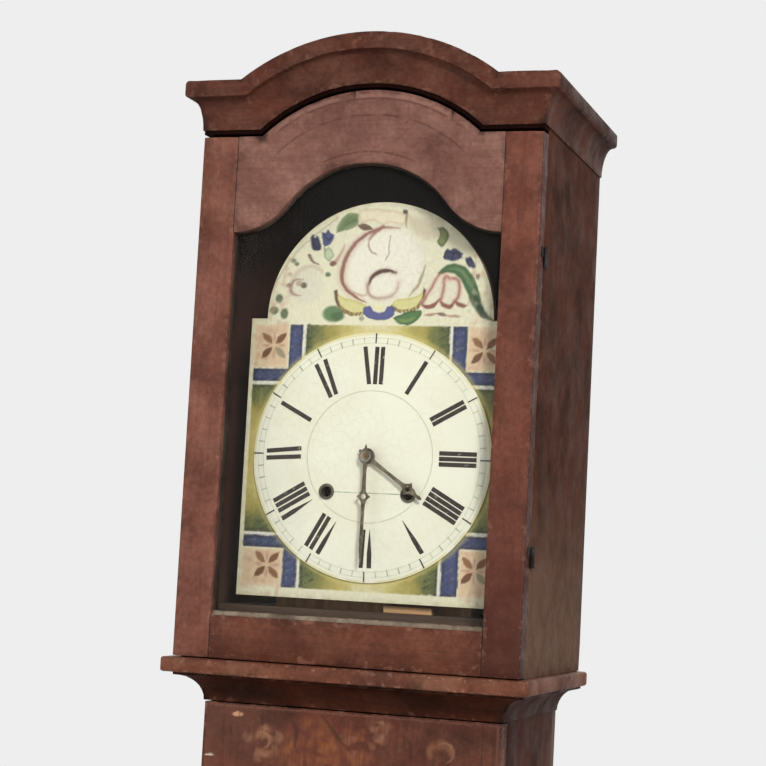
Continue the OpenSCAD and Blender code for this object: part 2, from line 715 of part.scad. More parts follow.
// Going train
module train_arbor(at, wheel_v, m, teeth, phase, leaf_v, leaf_m, leaf_phase) {
    bar(at, arbor_r, front_plate_v + 1, back_face_v - 1);
    disc_at(at, leaf_v, pinion_len) pinion_outline(leaf_m, pinion_teeth, leaf_phase);
    disc_at(at, wheel_v, wheel_t) wheel_outline(m, teeth, phase, 6);
}
module third_wheel() color([0.72, 0.58, 0.28]) at_dial()
    train_arbor(third_at, third_v, third_m, third_teeth, dir(third_at, escape_at),
        centre_v - 2, centre_m, third_dir + 180 + 180 / pinion_teeth);
module escape_wheel() color([0.74, 0.60, 0.30]) at_dial() {
    bar(escape_at, arbor_r, front_plate_v + 1, back_face_v - 1);
    disc_at(escape_at, third_v - 2, pinion_len)
        pinion_outline(third_m, pinion_teeth, dir(third_at, escape_at) + 180 + 180 / pinion_teeth);
    disc_at(escape_at, escape_v, 2) difference() {
        union() {
            circle(escape_r - 4);
            for (i = [0:escape_teeth - 1]) rotate(i * 360 / escape_teeth)
                polygon([[escape_r - 5, -1.3], [escape_r, -0.9], [escape_r, -0.5], [escape_r - 5, 1.3]]);
        }
        difference() {
            circle(escape_r - 7);
            circle(5);
            for (i = [0:3]) rotate(90 * i) translate([0, -1.5]) square([escape_r, 3]);
        }
    }
}
module anchor() color([0.45, 0.43, 0.42]) at_dial() {
    inner = escape_r + pallet_gap;
    bar(anchor_at, arbor_r, front_plate_v + 1, back_face_v + 9);
    slab(escape_v - 1, escape_v + 3) union() {
        difference() {
            translate(escape_at) circle(inner + 4.5);
            translate(escape_at) circle(inner);
            translate(escape_at) rotate(-45) translate([-80, -80]) square([160, 80]);
            translate(escape_at) rotate(45) translate([-80, -80]) square([160, 80]);
        }
        translate(anchor_at) circle(5);
        translate(anchor_at - [4, 6]) square([8, 6]);
    }
    slab(back_face_v + 6, back_face_v + 9) union() {
        translate(anchor_at) circle(4.5);
        translate(anchor_at - [2, fork_drop]) square([4, fork_drop]);
        translate(anchor_at - [rod_r + 3, fork_drop + 5]) square([2 * rod_r + 6, 6]);
    }
    for (s = [-1, 1]) slab(back_face_v + 6, pendulum_v + rod_r + 2)
        translate(anchor_at + [s * (rod_r + 1.75), -fork_drop - 2]) square([2.5, 6], center = true);
}
module suspension_cock() color([0.55, 0.53, 0.50]) at_dial() {
    far = pendulum_v + 9;
    slab(back_face_v, far) translate(anchor_at + [-7, 7]) square([14, 6]);
    slab(far - 3, far) translate(anchor_at + [-7, -6]) square([14, 14]);
    bar(anchor_at, pivot_pin_r, pendulum_v - 4, far - 3);
}
module pendulum_rod() color([0.48, 0.44, 0.38]) at_dial() {
    difference() {
        union() {
            bar(anchor_at, 5, pendulum_v - 2, pendulum_v + 2);
            translate([0, pendulum_v, anchor_at[1] - pendulum_len + 2])
                cylinder(r = rod_r, h = pendulum_len - 5);
        }
        bar(anchor_at, pivot_pin_r + run_fit, pendulum_v - 6, pendulum_v + 6);
    }
    translate([0, pendulum_v, anchor_at[1] - pendulum_len - bob_r - 22]) cylinder(r = 2, h = bob_r + 25);
    translate([0, pendulum_v, anchor_at[1] - pendulum_len - bob_r - 12]) cylinder(r = 8, h = 8);
}
module pendulum_bob() color([0.62, 0.50, 0.25]) at_dial() difference() {
    translate([0, pendulum_v, anchor_at[1] - pendulum_len]) rotate([90, 0, 0])
        rotate_extrude($fn = 96) polygon(concat(
            [for (i = [0:6]) let (k = i / 6) [bob_r * k, -bob_t / 2 * sqrt(1 - 0.9 * k * k)]],
            [for (i = [0:6]) let (k = 1 - i / 6) [bob_r * k, bob_t / 2 * sqrt(1 - 0.9 * k * k)]]));
    translate([0, pendulum_v, anchor_at[1] - pendulum_len - bob_r - 5])
        cylinder(r = 2.05, h = bob_r + 5 + eps);
    translate([0, pendulum_v, anchor_at[1] - pendulum_len]) cylinder(r = rod_r + 0.05, h = bob_r + 5);
}

// Winding drums, great wheels and weights
module drum(at) {
    bar(at, drum_arbor_r, 4, back_face_v - 1);
    slab(-1, 8) translate(at) square(square_w, center = true);
    bar(at, drum_r, drum_v, drum_v + drum_len);
    for (v = [drum_v, drum_v + drum_len - flange_t]) bar(at, flange_r, v, v + flange_t);
}
module great_wheel(at, v, phase) {
    difference() {
        disc_at(at, v, 3) wheel_outline(great_m, great_teeth, phase, 10);
        bar(at, drum_arbor_r + run_fit, v - 1, v + 4);
    }
}
module weight(at) {
    x = at[0] + sign(at[0]) * line_x;
    translate([x, line_v, at[1] - line_len]) {
        rotate_extrude() polygon([[0, -weight_h - 24], [weight_r - 6, -weight_h - 24],
            [weight_r, -weight_h - 18], [weight_r, -34], [weight_r - 8, -24], [0, -24]]);
        translate([0, 0, -25]) cylinder(r = 2, h = 15);
        translate([0, 0, -6]) rotate([90, 0, 0]) rotate_extrude($fn = 32)
            translate([4.5, 0]) circle(1.5, $fn = 16);
    }
}
module line(at) {
    x = at[0] + sign(at[0]) * line_x;
    translate([x, line_v, at[1] - line_len]) cylinder(r = line_r, h = line_len, $fn = 16);
}
module going_great_wheel() color([0.72, 0.58, 0.28]) at_dial()
    great_wheel(going_at, great_v, dir(going_at, [0, 0]));
module strike_great_wheel() color([0.72, 0.58, 0.28]) at_dial()
    great_wheel(strike_at, strike_great_v, dir(strike_at, pin_at));
module going_drum() color([0.66, 0.54, 0.30]) at_dial() drum(going_at);
module strike_drum() color([0.66, 0.54, 0.30]) at_dial() drum(strike_at);
module going_weight() color([0.25, 0.24, 0.23]) at_dial() weight(going_at);
module strike_weight() color([0.25, 0.24, 0.23]) at_dial() weight(strike_at);
module going_line() color([0.60, 0.48, 0.30]) at_dial() line(going_at);
module strike_line() color([0.60, 0.48, 0.30]) at_dial() line(strike_at);

// Strike train
module pin_wheel() color([0.72, 0.58, 0.28]) at_dial() {
    train_arbor(pin_at, pin_v, centre_m, centre_teeth, fly_dir,
        strike_great_v - 2, great_m, pin_dir + 180 + 180 / pinion_teeth);
    for (i = [0:7]) bar(pin_at + pin_ring_r * [cos(45 * i), sin(45 * i)], lift_pin_r, pin_v + 0.5, pin_v + 6);
}
module fly() color([0.68, 0.56, 0.30]) at_dial() {
    bar(fly_at, arbor_r, front_plate_v + 1, back_face_v - 1);
    disc_at(fly_at, pin_v - 2, pinion_len)
        pinion_outline(centre_m, pinion_teeth, fly_dir + 180 + 180 / pinion_teeth);
    slab(fly_v, fly_v + fly_len) translate(fly_at) square([fly_span, 1.2], center = true);
    bar(fly_at, arbor_r + 1, fly_v, fly_v + fly_len);
}
module hammer() color([0.45, 0.43, 0.42]) at_dial() {
    head = [-bell_r - head_gap_bell - 8, bell_rim + 5];
    tail_dir = dir(hammer_at, pin_at);
    tail_len = norm(pin_at - hammer_at) - pin_ring_r - lift_pin_r - 1;
    arm_v = pin_v + 3;
    bar(hammer_at, arbor_r, front_plate_v + 1, back_face_v - 1);
    slab(arm_v, arm_v + 3) union() {
        translate(hammer_at) circle(5);
        translate(hammer_at) rotate(dir(hammer_at, head)) translate([0, -2])
            square([norm(head - hammer_at), 4]);
        translate(hammer_at) rotate(tail_dir) translate([0, -2]) square([tail_len, 4]);
    }
    translate([head[0] - 8, bell_v, head[1]]) rotate([0, 90, 0]) cylinder(r = 7, h = 16);
}
module bell() color([0.70, 0.62, 0.40]) at_dial() translate([0, bell_v, bell_rim]) difference() {
    rotate_extrude($fn = 96) difference() {
        intersection() {
            circle(bell_r);
            square([bell_r + 1, bell_r + 1]);
        }
        circle(bell_r - bell_t);
    }
    translate([0, 0, bell_r - 8]) cylinder(r = 2.1, h = 12);
}
module bell_stand() color([0.45, 0.43, 0.42]) at_dial() {
    top = bell_rim + bell_r;
    translate([0, bell_v, plates_up]) cylinder(r = stand_r, h = top - bell_t - bell_seat - plates_up);
    translate([0, bell_v, plates_up]) cylinder(r = 2, h = top - plates_up + 7);
    translate([0, bell_v, top + 0.2]) cylinder(r = 4.5, h = 4, $fn = 6);
    box([-8, bell_v - 4, plates_up], [8, back_face_v, plates_up + 4]);
}

base_skirting();
base_front();
base_sides();
backboard();
waist_moulding();
trunk_side_left();
trunk_side_right();
trunk_rails();
throat_moulding();
seatboard();
seatboard_wedge();
front_plate();
back_plate();
movement_pillars();
dial_board();
chapter_disc();
winding_grommets();
bell();
bell_stand();
suspension_cock();
trunk_hinge_plates();
hood_side_left();
hood_side_right();
hood_roof();
hood_head_board();
hood_cornice();
hood_base_frame();
hood_hinge_plates();
hood_door_stile_left();
hood_door_stile_right();
hood_door_arch_rail();
hood_door_bottom_rail();
hood_door_glass();
hood_door_bead();
hood_door_hinges();
trunk_door();
trunk_door_hinges();
trunk_door_latch();
centre_wheel();
minute_hand();
hand_nut();
hour_wheel();
hour_hand();
minute_wheel();
third_wheel();
escape_wheel();
anchor();
pendulum_rod();
pendulum_bob();
going_great_wheel();
going_drum();
going_weight();
going_line();
strike_great_wheel();
strike_drum();
strike_weight();
strike_line();
pin_wheel();
fly();
hammer();
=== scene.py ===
"""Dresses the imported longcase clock: pine case, painted dial, hands, movement, weights and pendulum."""
import json
import logging
import math
from dataclasses import dataclass, field
from enum import Enum
from typing import Callable, Iterable, Sequence

import bmesh
import bpy
import numpy as np
from mathutils import Matrix, Vector, kdtree

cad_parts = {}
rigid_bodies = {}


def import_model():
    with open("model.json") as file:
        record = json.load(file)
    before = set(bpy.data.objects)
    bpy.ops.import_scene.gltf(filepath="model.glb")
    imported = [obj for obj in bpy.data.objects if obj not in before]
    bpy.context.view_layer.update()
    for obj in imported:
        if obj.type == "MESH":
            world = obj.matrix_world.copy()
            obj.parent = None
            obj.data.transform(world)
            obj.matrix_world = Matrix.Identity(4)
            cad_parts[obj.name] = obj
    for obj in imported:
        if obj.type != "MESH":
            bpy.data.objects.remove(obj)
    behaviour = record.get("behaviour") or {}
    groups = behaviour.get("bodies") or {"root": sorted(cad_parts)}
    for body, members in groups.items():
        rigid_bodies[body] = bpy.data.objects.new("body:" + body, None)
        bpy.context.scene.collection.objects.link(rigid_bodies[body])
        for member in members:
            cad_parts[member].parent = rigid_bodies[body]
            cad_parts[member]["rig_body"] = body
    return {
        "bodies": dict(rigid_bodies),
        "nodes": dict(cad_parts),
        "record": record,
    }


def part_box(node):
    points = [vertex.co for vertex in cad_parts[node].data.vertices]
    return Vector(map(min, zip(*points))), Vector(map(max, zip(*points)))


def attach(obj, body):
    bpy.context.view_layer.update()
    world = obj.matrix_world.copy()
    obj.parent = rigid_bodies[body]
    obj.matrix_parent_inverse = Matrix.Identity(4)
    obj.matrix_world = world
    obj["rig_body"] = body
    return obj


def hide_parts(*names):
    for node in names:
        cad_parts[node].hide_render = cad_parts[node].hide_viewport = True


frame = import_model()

log = logging.getLogger("clock")
MM = 0.001
FULL = 255
Rgb = tuple[float, float, float]
Point = tuple[float, float]
Socket = bpy.types.NodeSocket


# Places and small helpers


@dataclass(frozen=True)
class Datum:
    """The origin of a drawing in millimetres, given in the row frame in metres."""

    x: float
    y: float
    z: float

    def at(self, x: float, y: float, z: float) -> Vector:
        """Gives a drawing's point, in mm, as a point of the row frame."""
        return Vector((self.x + x * MM, self.y + y * MM, self.z + z * MM))

    def many(self, x: np.ndarray, y: np.ndarray, z: np.ndarray) -> np.ndarray:
        """Gives arrays of a drawing's points, in mm, as rows of the row frame."""
        return np.stack([self.x + x * MM, self.y + y * MM, self.z + z * MM], axis=1)


def hood_datum() -> Datum:
    """Finds the middle of the hood door's front, at the hood's foot."""
    return Datum(0.0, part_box("hood_door_stile_left")[0].y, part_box("hood_side_left")[0].z)


def dial_datum() -> Datum:
    """Finds the middle of the dial, on the face of its board."""
    low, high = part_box("chapter_disc")
    return Datum((low.x + high.x) / 2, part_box("dial_board")[0].y, (low.z + high.z) / 2)


def unbend(screen: np.ndarray) -> np.ndarray:
    """Turns screen values of 0 to 1 into linear ones."""
    return np.where(screen <= 0.04045, screen / 12.92, ((screen + 0.055) / 1.055) ** 2.4)


def linear(colour: Sequence[float]) -> tuple[float, float, float, float]:
    """Turns a screen colour of 0 to 255 into the linear colour that shaders take."""
    red, green, blue = unbend(np.array(colour[:3]) / FULL).tolist()
    return red, green, blue, 1.0


def shaded(colour: Sequence[float], by: float) -> Rgb:
    """Makes a screen colour darker or lighter by a factor."""
    red, green, blue = (min(FULL, c * by) for c in colour)
    return red, green, blue


def body_of(node: str) -> str:
    """Names the body that a CAD node rides on."""
    return frame["nodes"][node]["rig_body"]


SLOTS: dict[str, str] = {s["node"]: s["material_slot"] for s in frame["record"]["subparts"]}


def add_object(name: str, data: bpy.types.ID) -> bpy.types.Object:
    """Makes an object of its data and links it to the scene."""
    thing = bpy.data.objects.new(name, data)
    bpy.context.scene.collection.objects.link(thing)
    return thing


def dress(node: str, finish: bpy.types.Material) -> None:
    """Gives a CAD node one finish."""
    for slot in frame["nodes"][node].material_slots:
        slot.material = finish


def settle(piece: bpy.types.Object, node: str, replace: bool = False) -> bpy.types.Object:
    """Lets a piece ride with a CAD node's body.

    Args:
        piece: The new piece, in place.
        node: The CAD node whose body it shares.
        replace: Whether the piece stands for that node.

    Returns:
        The piece.
    """
    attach(piece, body_of(node))
    if replace:
        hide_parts(node)
    return piece


def make_piece(name: str, points: np.ndarray | list, faces: list,
               finish: bpy.types.Material) -> bpy.types.Object:
    """Makes a flat-shaded mesh piece from points in metres and faces, and links it to the scene.

    Args:
        name: The piece's name.
        points: Rows of x, y and z.
        faces: Tuples of point numbers.
        finish: The material of the whole piece.

    Returns:
        The new object, at the origin.
    """
    mesh = bpy.data.meshes.new(name)
    mesh.from_pydata([tuple(p) for p in points], [], faces)
    mesh.materials.append(finish)
    mesh.polygons.foreach_set("use_smooth", [False] * len(mesh.polygons))
    mesh.update()
    return add_object(name, mesh)


def smooth_noise(x: np.ndarray, z: np.ndarray, size: float, seed: int) -> np.ndarray:
    """Gives a soft uneven value from -1 to 1 over a plane.

    Args:
        x: Places across, in mm.
        z: Places up, in mm.
        size: The rough size of one patch, in mm.
        seed: Picks the pattern.

    Returns:
        One value for each place.
    """
    rng = np.random.default_rng(seed)
    total = np.zeros_like(x, dtype=float)
    for _ in range(7):
        turn, phase, stretch = rng.uniform(0, math.tau), rng.uniform(0, math.tau), rng.uniform(0.6, 1.7)
        total += np.sin((x * math.cos(turn) + z * math.sin(turn)) * math.tau / (size * stretch) + phase)
    return total / 4


def through(points: Sequence[Point], steps: int = 6) -> np.ndarray:
    """Draws a smooth line through a few points.

    Args:
        points: The points, in mm.
        steps: How many short lines join two of them.

    Returns:
        The points of the smooth line.
    """
    p = np.array(points, dtype=float)
    if len(p) < 3:
        t = np.linspace(0, 1, steps * 2)[:, None]
        return p[0] * (1 - t) + p[-1] * t
    q = np.vstack([2 * p[0] - p[1], p, 2 * p[-1] - p[-2]])
    out = []
    for i in range(1, len(q) - 2):
        for t in np.arange(steps) / steps:
            out.append(0.5 * (2 * q[i] + (q[i + 1] - q[i - 1]) * t
                              + (2 * q[i - 1] - 5 * q[i] + 4 * q[i + 1] - q[i + 2]) * t * t
                              + (3 * q[i] - q[i - 1] - 3 * q[i + 1] + q[i + 2]) * t ** 3))
    out.append(q[-2])
    return np.array(out)


# Node trees of the finishes


class Grain(Enum):
    """The way that a board's grain runs, as the stretch of its pattern on each axis."""

    ACROSS = (0.045, 1.0, 1.0)
    DEEP = (1.0, 0.045, 1.0)
    UPRIGHT = (1.0, 1.0, 0.045)


class Tree:
    """Adds nodes to one node tree and joins them up."""

    def __init__(self, tree: bpy.types.NodeTree) -> None:
        """Keeps the tree."""
        self.tree = tree

    def plug(self, value: object, socket: Socket) -> None:
        """Joins a socket to an input, or sets the input to a plain value."""
        if isinstance(value, bpy.types.NodeSocket):
            self.tree.links.new(value, socket)
        else:
            socket.default_value = value

    def add(self, kind: str, links: dict | None = None, **settings: object) -> bpy.types.Node:
        """Adds a node.

        Args:
            kind: The node's type.
            links: Sockets or plain values for its inputs, by the input's name or number.
            settings: Its options, which are set first.

        Returns:
            The node.
        """
        node = self.tree.nodes.new(kind)
        for key, value in settings.items():
            setattr(node, key, value)
        for key, value in (links or {}).items():
            self.plug(value, node.inputs[key])
        return node

    def math(self, kind: str, a: object, b: object = 0.0, clamp: bool = False) -> Socket:
        """Adds a math node on two numbers."""
        return self.add("ShaderNodeMath", {0: a, 1: b}, operation=kind, use_clamp=clamp).outputs[0]


class Shader(Tree):
    """Adds the nodes of one material."""

    def __init__(self, name: str) -> None:
        """Starts a material that has a principled shader and nothing else."""
        self.material = bpy.data.materials.new(name)
        self.material.use_nodes = True
        super().__init__(self.material.node_tree)
        self.tree.nodes.clear()
        self.main = self.add("ShaderNodeBsdfPrincipled")
        self.add("ShaderNodeOutputMaterial", {0: self.main.outputs[0]})
        self.place = self.add("ShaderNodeTexCoord").outputs["Object"]

    def vector(self, kind: str, a: object, b: object) -> bpy.types.Node:
        """Adds a vector math node on two vectors."""
        return self.add("ShaderNodeVectorMath", {0: a, 1: b}, operation=kind)

    def stretch(self, by: Sequence[float]) -> Socket:
        """Gives the place on the piece, stretched on each axis."""
        return self.vector("MULTIPLY", self.place, tuple(by)).outputs[0]

    def noise(self, scale: float, where: Socket | None = None, detail: float = 3.0, rough: float = 0.55,
              bend: float = 0.0) -> Socket:
        """Adds a noise whose patches are about 1 / scale metres across."""
        links = {"Vector": where or self.place, "Scale": scale, "Detail": detail, "Roughness": rough,
                 "Distortion": bend}
        return self.add("ShaderNodeTexNoise", links).outputs[0]

    def cells(self, scale: float, where: Socket | None = None, feature: str = "F1") -> Socket:
        """Adds a cell pattern and gives the distance in it."""
        links = {"Vector": where or self.place, "Scale": scale}
        return self.add("ShaderNodeTexVoronoi", links, feature=feature).outputs["Distance"]

    def ramp(self, value: Socket, low: float, high: float, start: float = 0.0, end: float = 1.0) -> Socket:
        """Turns a range of a value softly into another range."""
        links = dict(enumerate((value, low, high, start, end)))
        return self.add("ShaderNodeMapRange", links, interpolation_type="SMOOTHSTEP").outputs[0]

    @staticmethod
    def tone(colour: object) -> object:
        """Leaves a socket as it is and makes a screen colour linear."""
        return colour if isinstance(colour, bpy.types.NodeSocket) else linear(colour)

    def blend(self, share: object, a: object, b: object, kind: str = "MIX") -> Socket:
        """Mixes two colours, each a socket or a screen colour."""
        links = {0: share, 6: self.tone(a), 7: self.tone(b)}
        return self.add("ShaderNodeMix", links, data_type="RGBA", blend_type=kind).outputs[2]

    def own(self, name: str) -> bpy.types.Node:
        """Reads one of the mesh's own attributes."""
        return self.add("ShaderNodeAttribute", attribute_name=name)

    def axis(self, letter: str) -> Socket:
        """Gives one axis of the place on the piece."""
        return self.add("ShaderNodeSeparateXYZ", {0: self.place}).outputs[letter]

    def grey(self, value: Socket) -> Socket:
        """Turns one number into a grey colour."""
        return self.add("ShaderNodeCombineColor", {0: value, 1: value, 2: value}).outputs[0]

    def warped(self, by: float) -> Socket:
        """Gives the place on the piece, pushed about by a few mm so that patches are ragged."""
        shift = self.add("ShaderNodeTexNoise", {"Vector": self.place, "Scale": 90.0})
        links = {0: shift.outputs["Color"], 1: (by, by, by), 2: self.place}
        return self.add("ShaderNodeVectorMath", links, operation="MULTIPLY_ADD").outputs[0]

    def tint(self, colour: Socket, share: Socket, strength: float, over: object) -> Socket:
        """Lays a colour over another by a share of a strength."""
        return self.blend(self.math("MULTIPLY", share, strength), colour, over)

    def radius(self, x: float, z: float) -> Socket:
        """Gives the distance, seen from the front, from an upright line of sight at x and z in metres."""
        flat = self.vector("MULTIPLY", self.vector("SUBTRACT", self.place, (x, 0, z)).outputs[0], (1, 0, 1))
        return self.vector("LENGTH", flat.outputs[0], (0, 0, 0)).outputs["Value"]

    def finish(self, colour: object, rough: object, height: Socket | None = None, depth: float = 0.0003,
               metal: float = 0.0, gloss: float = 0.4) -> bpy.types.Material:
        """Joins colour, roughness and bump to the shader.

        Args:
            colour: A socket or a screen colour.
            rough: A socket or a number.
            height: The bump's height from 0 to 1, if there is a bump.
            depth: How deep the bump goes, in metres.
            metal: How metallic the surface is.
            gloss: How strongly the surface reflects, where 0.5 is plain varnish.

        Returns:
            The finished material.
        """
        values = {"Base Color": self.tone(colour), "Roughness": rough, "Metallic": metal,
                  "Specular IOR Level": gloss}
        if height is not None:
            bump = self.add("ShaderNodeBump", {"Strength": 1.0, "Distance": depth, "Height": height})
            values["Normal"] = bump.outputs[0]
        for name, value in values.items():
            self.plug(value, self.main.inputs[name])
        return self.material


@dataclass(frozen=True)
class Ring:
    """A scored or painted line at one distance from a centre, seen from the front. Places are in metres."""

    x: float
    z: float
    radius: float
    width: float
    strength: float
    colour: Rgb
    reach: float = 9.0

    def draw(self, s: Shader, colour: Socket) -> Socket:
        """Lays the line over a colour, worn in places.

        Args:
            s: The shader.
            colour: The colour under the line.

        Returns:
            The new colour.
        """
        links = {0: s.noise(22.0), 1: self.width * 1.2, 2: -self.width * 0.6}
        wander = s.add("ShaderNodeMath", links, operation="MULTIPLY_ADD").outputs[0]
        off = s.math("SUBTRACT", s.math("ADD", s.radius(self.x, self.z), wander), self.radius)
        near = s.ramp(s.math("ABSOLUTE", off), self.width * 0.25, self.width * 0.75, 1.0, 0.0)
        worn = s.ramp(s.noise(60.0), 0.32, 0.5)
        side = s.math("ABSOLUTE", s.math("SUBTRACT", s.axis("X"), self.x))
        within = s.ramp(side, self.reach * 0.8, self.reach, 1.0, 0.0)
        mask = s.math("MULTIPLY", s.math("MULTIPLY", near, worn), within)
        return s.blend(s.math("MULTIPLY", mask, self.strength), colour, self.colour)


@dataclass(frozen=True)
class PaintedWood:
    """Old oil paint on pine, rubbed thin at the arrises and dark in the hollows."""

    name: str
    body: Rgb
    haze: Rgb
    dark: Rgb
    grain: Grain
    bare: Rgb = (168, 122, 102)
    wear: float = 0.3
    hollow_soil_and_shade: float = 0.75
    rough: float = 0.6
    gloss: float = 0.16
    haze_share: float = 0.55
    foot: Rgb | None = None
    foot_from: float = 0.0
    foot_to: float = 0.0
    inside: float = 0.0
    inside_wood_and_shade: Rgb = (34, 31, 31)
    rings: tuple[Ring, ...] = ()
    painted: bool = False
    edge: float = 0.0

    def coat(self, s: Shader, along: Socket, fibre: Socket) -> Socket:
        """Mixes the paint's colour: broad patches, haze, small mottling and grain, and painted shade past an
        edge.

        Args:
            s: The shader.
            along: The place, stretched along the grain.
            fibre: The finest grain.

        Returns:
            The colour.
        """
        colour = s.blend(s.ramp(s.noise(15.0, detail=5.0, bend=0.4), 0.34, 0.62), self.dark, self.body)
        apart = s.vector("ADD", s.place, (3.1, 1.7, 5.3)).outputs[0]
        hazy = s.ramp(s.noise(30.0, apart, 5.0, 0.6), 0.42, 0.68)
        colour = s.tint(colour, hazy, self.haze_share, self.haze)
        mottle = s.ramp(s.noise(230.0, detail=3.0, rough=0.65), 0.3, 0.7, 0.84, 1.14)
        colour = s.blend(1.0, colour, s.grey(mottle), "MULTIPLY")
        colour = s.tint(colour, s.ramp(s.noise(95.0, along, 4.0, 0.6), 0.46, 0.7), 0.3, self.dark)
        colour = s.tint(colour, s.ramp(fibre, 0.5, 0.72), 0.26, shaded(self.dark, 0.72))
        bloom = s.ramp(s.noise(70.0, detail=6.0, rough=0.7, bend=1.0), 0.56, 0.7)
        colour = s.tint(colour, bloom, 0.3, self.haze)
        if self.foot:
            height = s.math("ADD", s.axis("Z"), s.math("MULTIPLY", s.noise(9.0), 0.12))
            low = s.ramp(height, self.foot_from, self.foot_to, 1.0, 0.0)
            thin = s.ramp(s.noise(55.0, detail=5.0, rough=0.65), 0.25, 0.7, 0.55, 1.0)
            colour = s.blend(s.math("MULTIPLY", low, thin), colour, self.foot)
        # Past the edge's x, the side face is painted darker: painted shade on the face turned to the right.
        if self.edge:
            painted_side_shade = s.ramp(s.axis("X"), self.edge - 4e-4, self.edge)
            colour = s.tint(colour, painted_side_shade, 0.7, shaded(self.body, 0.55))
        return colour

    def age(self, s: Shader, colour: Socket) -> tuple[Socket, Socket]:
        """Rubs the arrises, chips the paint and darkens the hollows with soiling and painted shade.

        Args:
            s: The shader.
            colour: The paint's colour.

        Returns:
            The new colour, and where the surface is chipped or pitted.
        """
        arris = s.own("arris").outputs["Fac"]
        ragged = s.ramp(s.noise(110.0, detail=6.0, rough=0.65), 0.35, 0.7, -0.7, 0.2)
        colour = s.tint(colour, s.ramp(s.math("ADD", arris, ragged), 0.55, 0.85), self.wear, self.bare)
        rim = s.ramp(s.math("ADD", arris, s.ramp(s.noise(60.0), 0.3, 0.7, -0.5, 0.1)), 0.5, 1.0)
        colour = s.tint(colour, rim, 0.4, shaded(self.dark, 0.6))
        chip = s.math("LESS_THAN", s.cells(60.0, s.warped(0.012)), 0.075)
        chip = s.math("MULTIPLY", chip, s.ramp(s.noise(19.0), 0.6, 0.64))
        chip = s.math("MULTIPLY", chip, s.ramp(arris, 0.3, 0.8, 0.1, 1.0))
        colour = s.tint(colour, chip, min(1.0, self.wear * 2), (196, 148, 120))
        # Near inward edges the colour darkens towards near black: partly soiling, partly painted shade in the
        # hollows.
        hollow = s.own("hollow").outputs["Fac"]
        soil_and_shade = s.ramp(s.math("ADD", hollow, s.ramp(s.noise(50.0), 0.3, 0.7, -0.25, 0.25)), 0.25, 0.95)
        colour = s.tint(colour, soil_and_shade, self.hollow_soil_and_shade, (22, 12, 9))
        pits = s.math("LESS_THAN", s.cells(105.0, s.warped(0.006)), 0.07)
        pits = s.math("MULTIPLY", pits, s.ramp(s.noise(24.0), 0.46, 0.56))
        return s.tint(colour, pits, 0.5, (34, 19, 15)), s.math("MAXIMUM", chip, pits)

    def make(self) -> bpy.types.Material:
        """Builds the finish's node tree."""
        s = Shader(self.name)
        along = s.stretch(self.grain.value)
        fibre = s.noise(420.0, along, 5.0, 0.6)
        colour = self.coat(s, along, fibre)
        for ring in self.rings:
            colour = ring.draw(s, colour)
        colour, scars = self.age(s, colour)
        if self.painted:
            art = s.own("paint")
            flaked = s.ramp(s.noise(190.0, along, 5.0, 0.65), 0.38, 0.52, 0.3, 1.0)
            colour = s.blend(s.math("MULTIPLY", art.outputs["Alpha"], flaked), colour, art.outputs["Color"])
        # Inside faces take the inside colour: bare wood on the trunk and base, and near black on the hood's
        # sides, where it is painted shade.
        if self.inside:
            within = s.ramp(s.math("ABSOLUTE", s.axis("X")), self.inside - 0.0008, self.inside, 1.0, 0.0)
            inside_dust_and_shade = s.blend(s.ramp(s.noise(30.0, detail=5.0), 0.4, 0.75), self.inside_wood_and_shade,
                            shaded(self.inside_wood_and_shade, 1.5))
            colour = s.blend(within, colour, inside_dust_and_shade)
        rough = s.ramp(s.noise(40.0, detail=5.0), 0.3, 0.7, self.rough - 0.1, self.rough + 0.14)
        height = s.math("MULTIPLY", s.math("ADD", fibre, s.noise(300.0)), 0.4)
        height = s.math("SUBTRACT", height, s.math("MULTIPLY", scars, 0.5))
        return s.finish(colour, rough, height, 0.00025, gloss=self.gloss)


@dataclass(frozen=True)
class BareWood:
    """Unpainted wood with its grain, saw marks and the dust of years."""

    name: str
    light: Rgb
    dark: Rgb
    grain: Grain
    dust: Rgb = (60, 54, 48)
    dust_share: float = 0.4
    hood_shade_from: float | None = None
    hood_shade_to: float = 0.0

    def make(self) -> bpy.types.Material:
        """Builds the node tree. Above a height and in front of a depth, in metres, it turns dark grey: painted
        shade inside the hood.
        """
        s = Shader(self.name)
        along = s.stretch(self.grain.value)
        rings = s.noise(70.0, along, 4.0, 0.6, 0.8)
        colour = s.blend(s.ramp(rings, 0.35, 0.65), self.dark, self.light)
        colour = s.tint(colour, s.ramp(s.noise(620.0, along, 2.0), 0.58, 0.7), 0.5, self.dark)
        colour = s.tint(colour, s.ramp(s.noise(11.0, detail=5.0), 0.42, 0.7), self.dust_share, self.dust)
        # Near inward edges the wood darkens: partly soiling, partly painted shade in the hollows.
        colour = s.tint(colour, s.ramp(s.own("hollow").outputs["Fac"], 0.3, 1.0), 0.6, (30, 24, 20))
        # Painted shade: the backboard's face inside the hood is greyed dark.
        if self.hood_shade_from is not None:
            above = s.ramp(s.axis("Z"), self.hood_shade_from, self.hood_shade_from + 0.04)
            within = s.math("LESS_THAN", s.axis("Y"), self.hood_shade_to)
            colour = s.tint(colour, s.math("MULTIPLY", above, within), 0.85, (62, 59, 56))
        height = s.math("ADD", s.math("MULTIPLY", rings, 0.5), s.math("MULTIPLY", s.noise(400.0, along), 0.5))
        return s.finish(colour, s.ramp(rings, 0.3, 0.7, 0.62, 0.8), height, 0.0003)


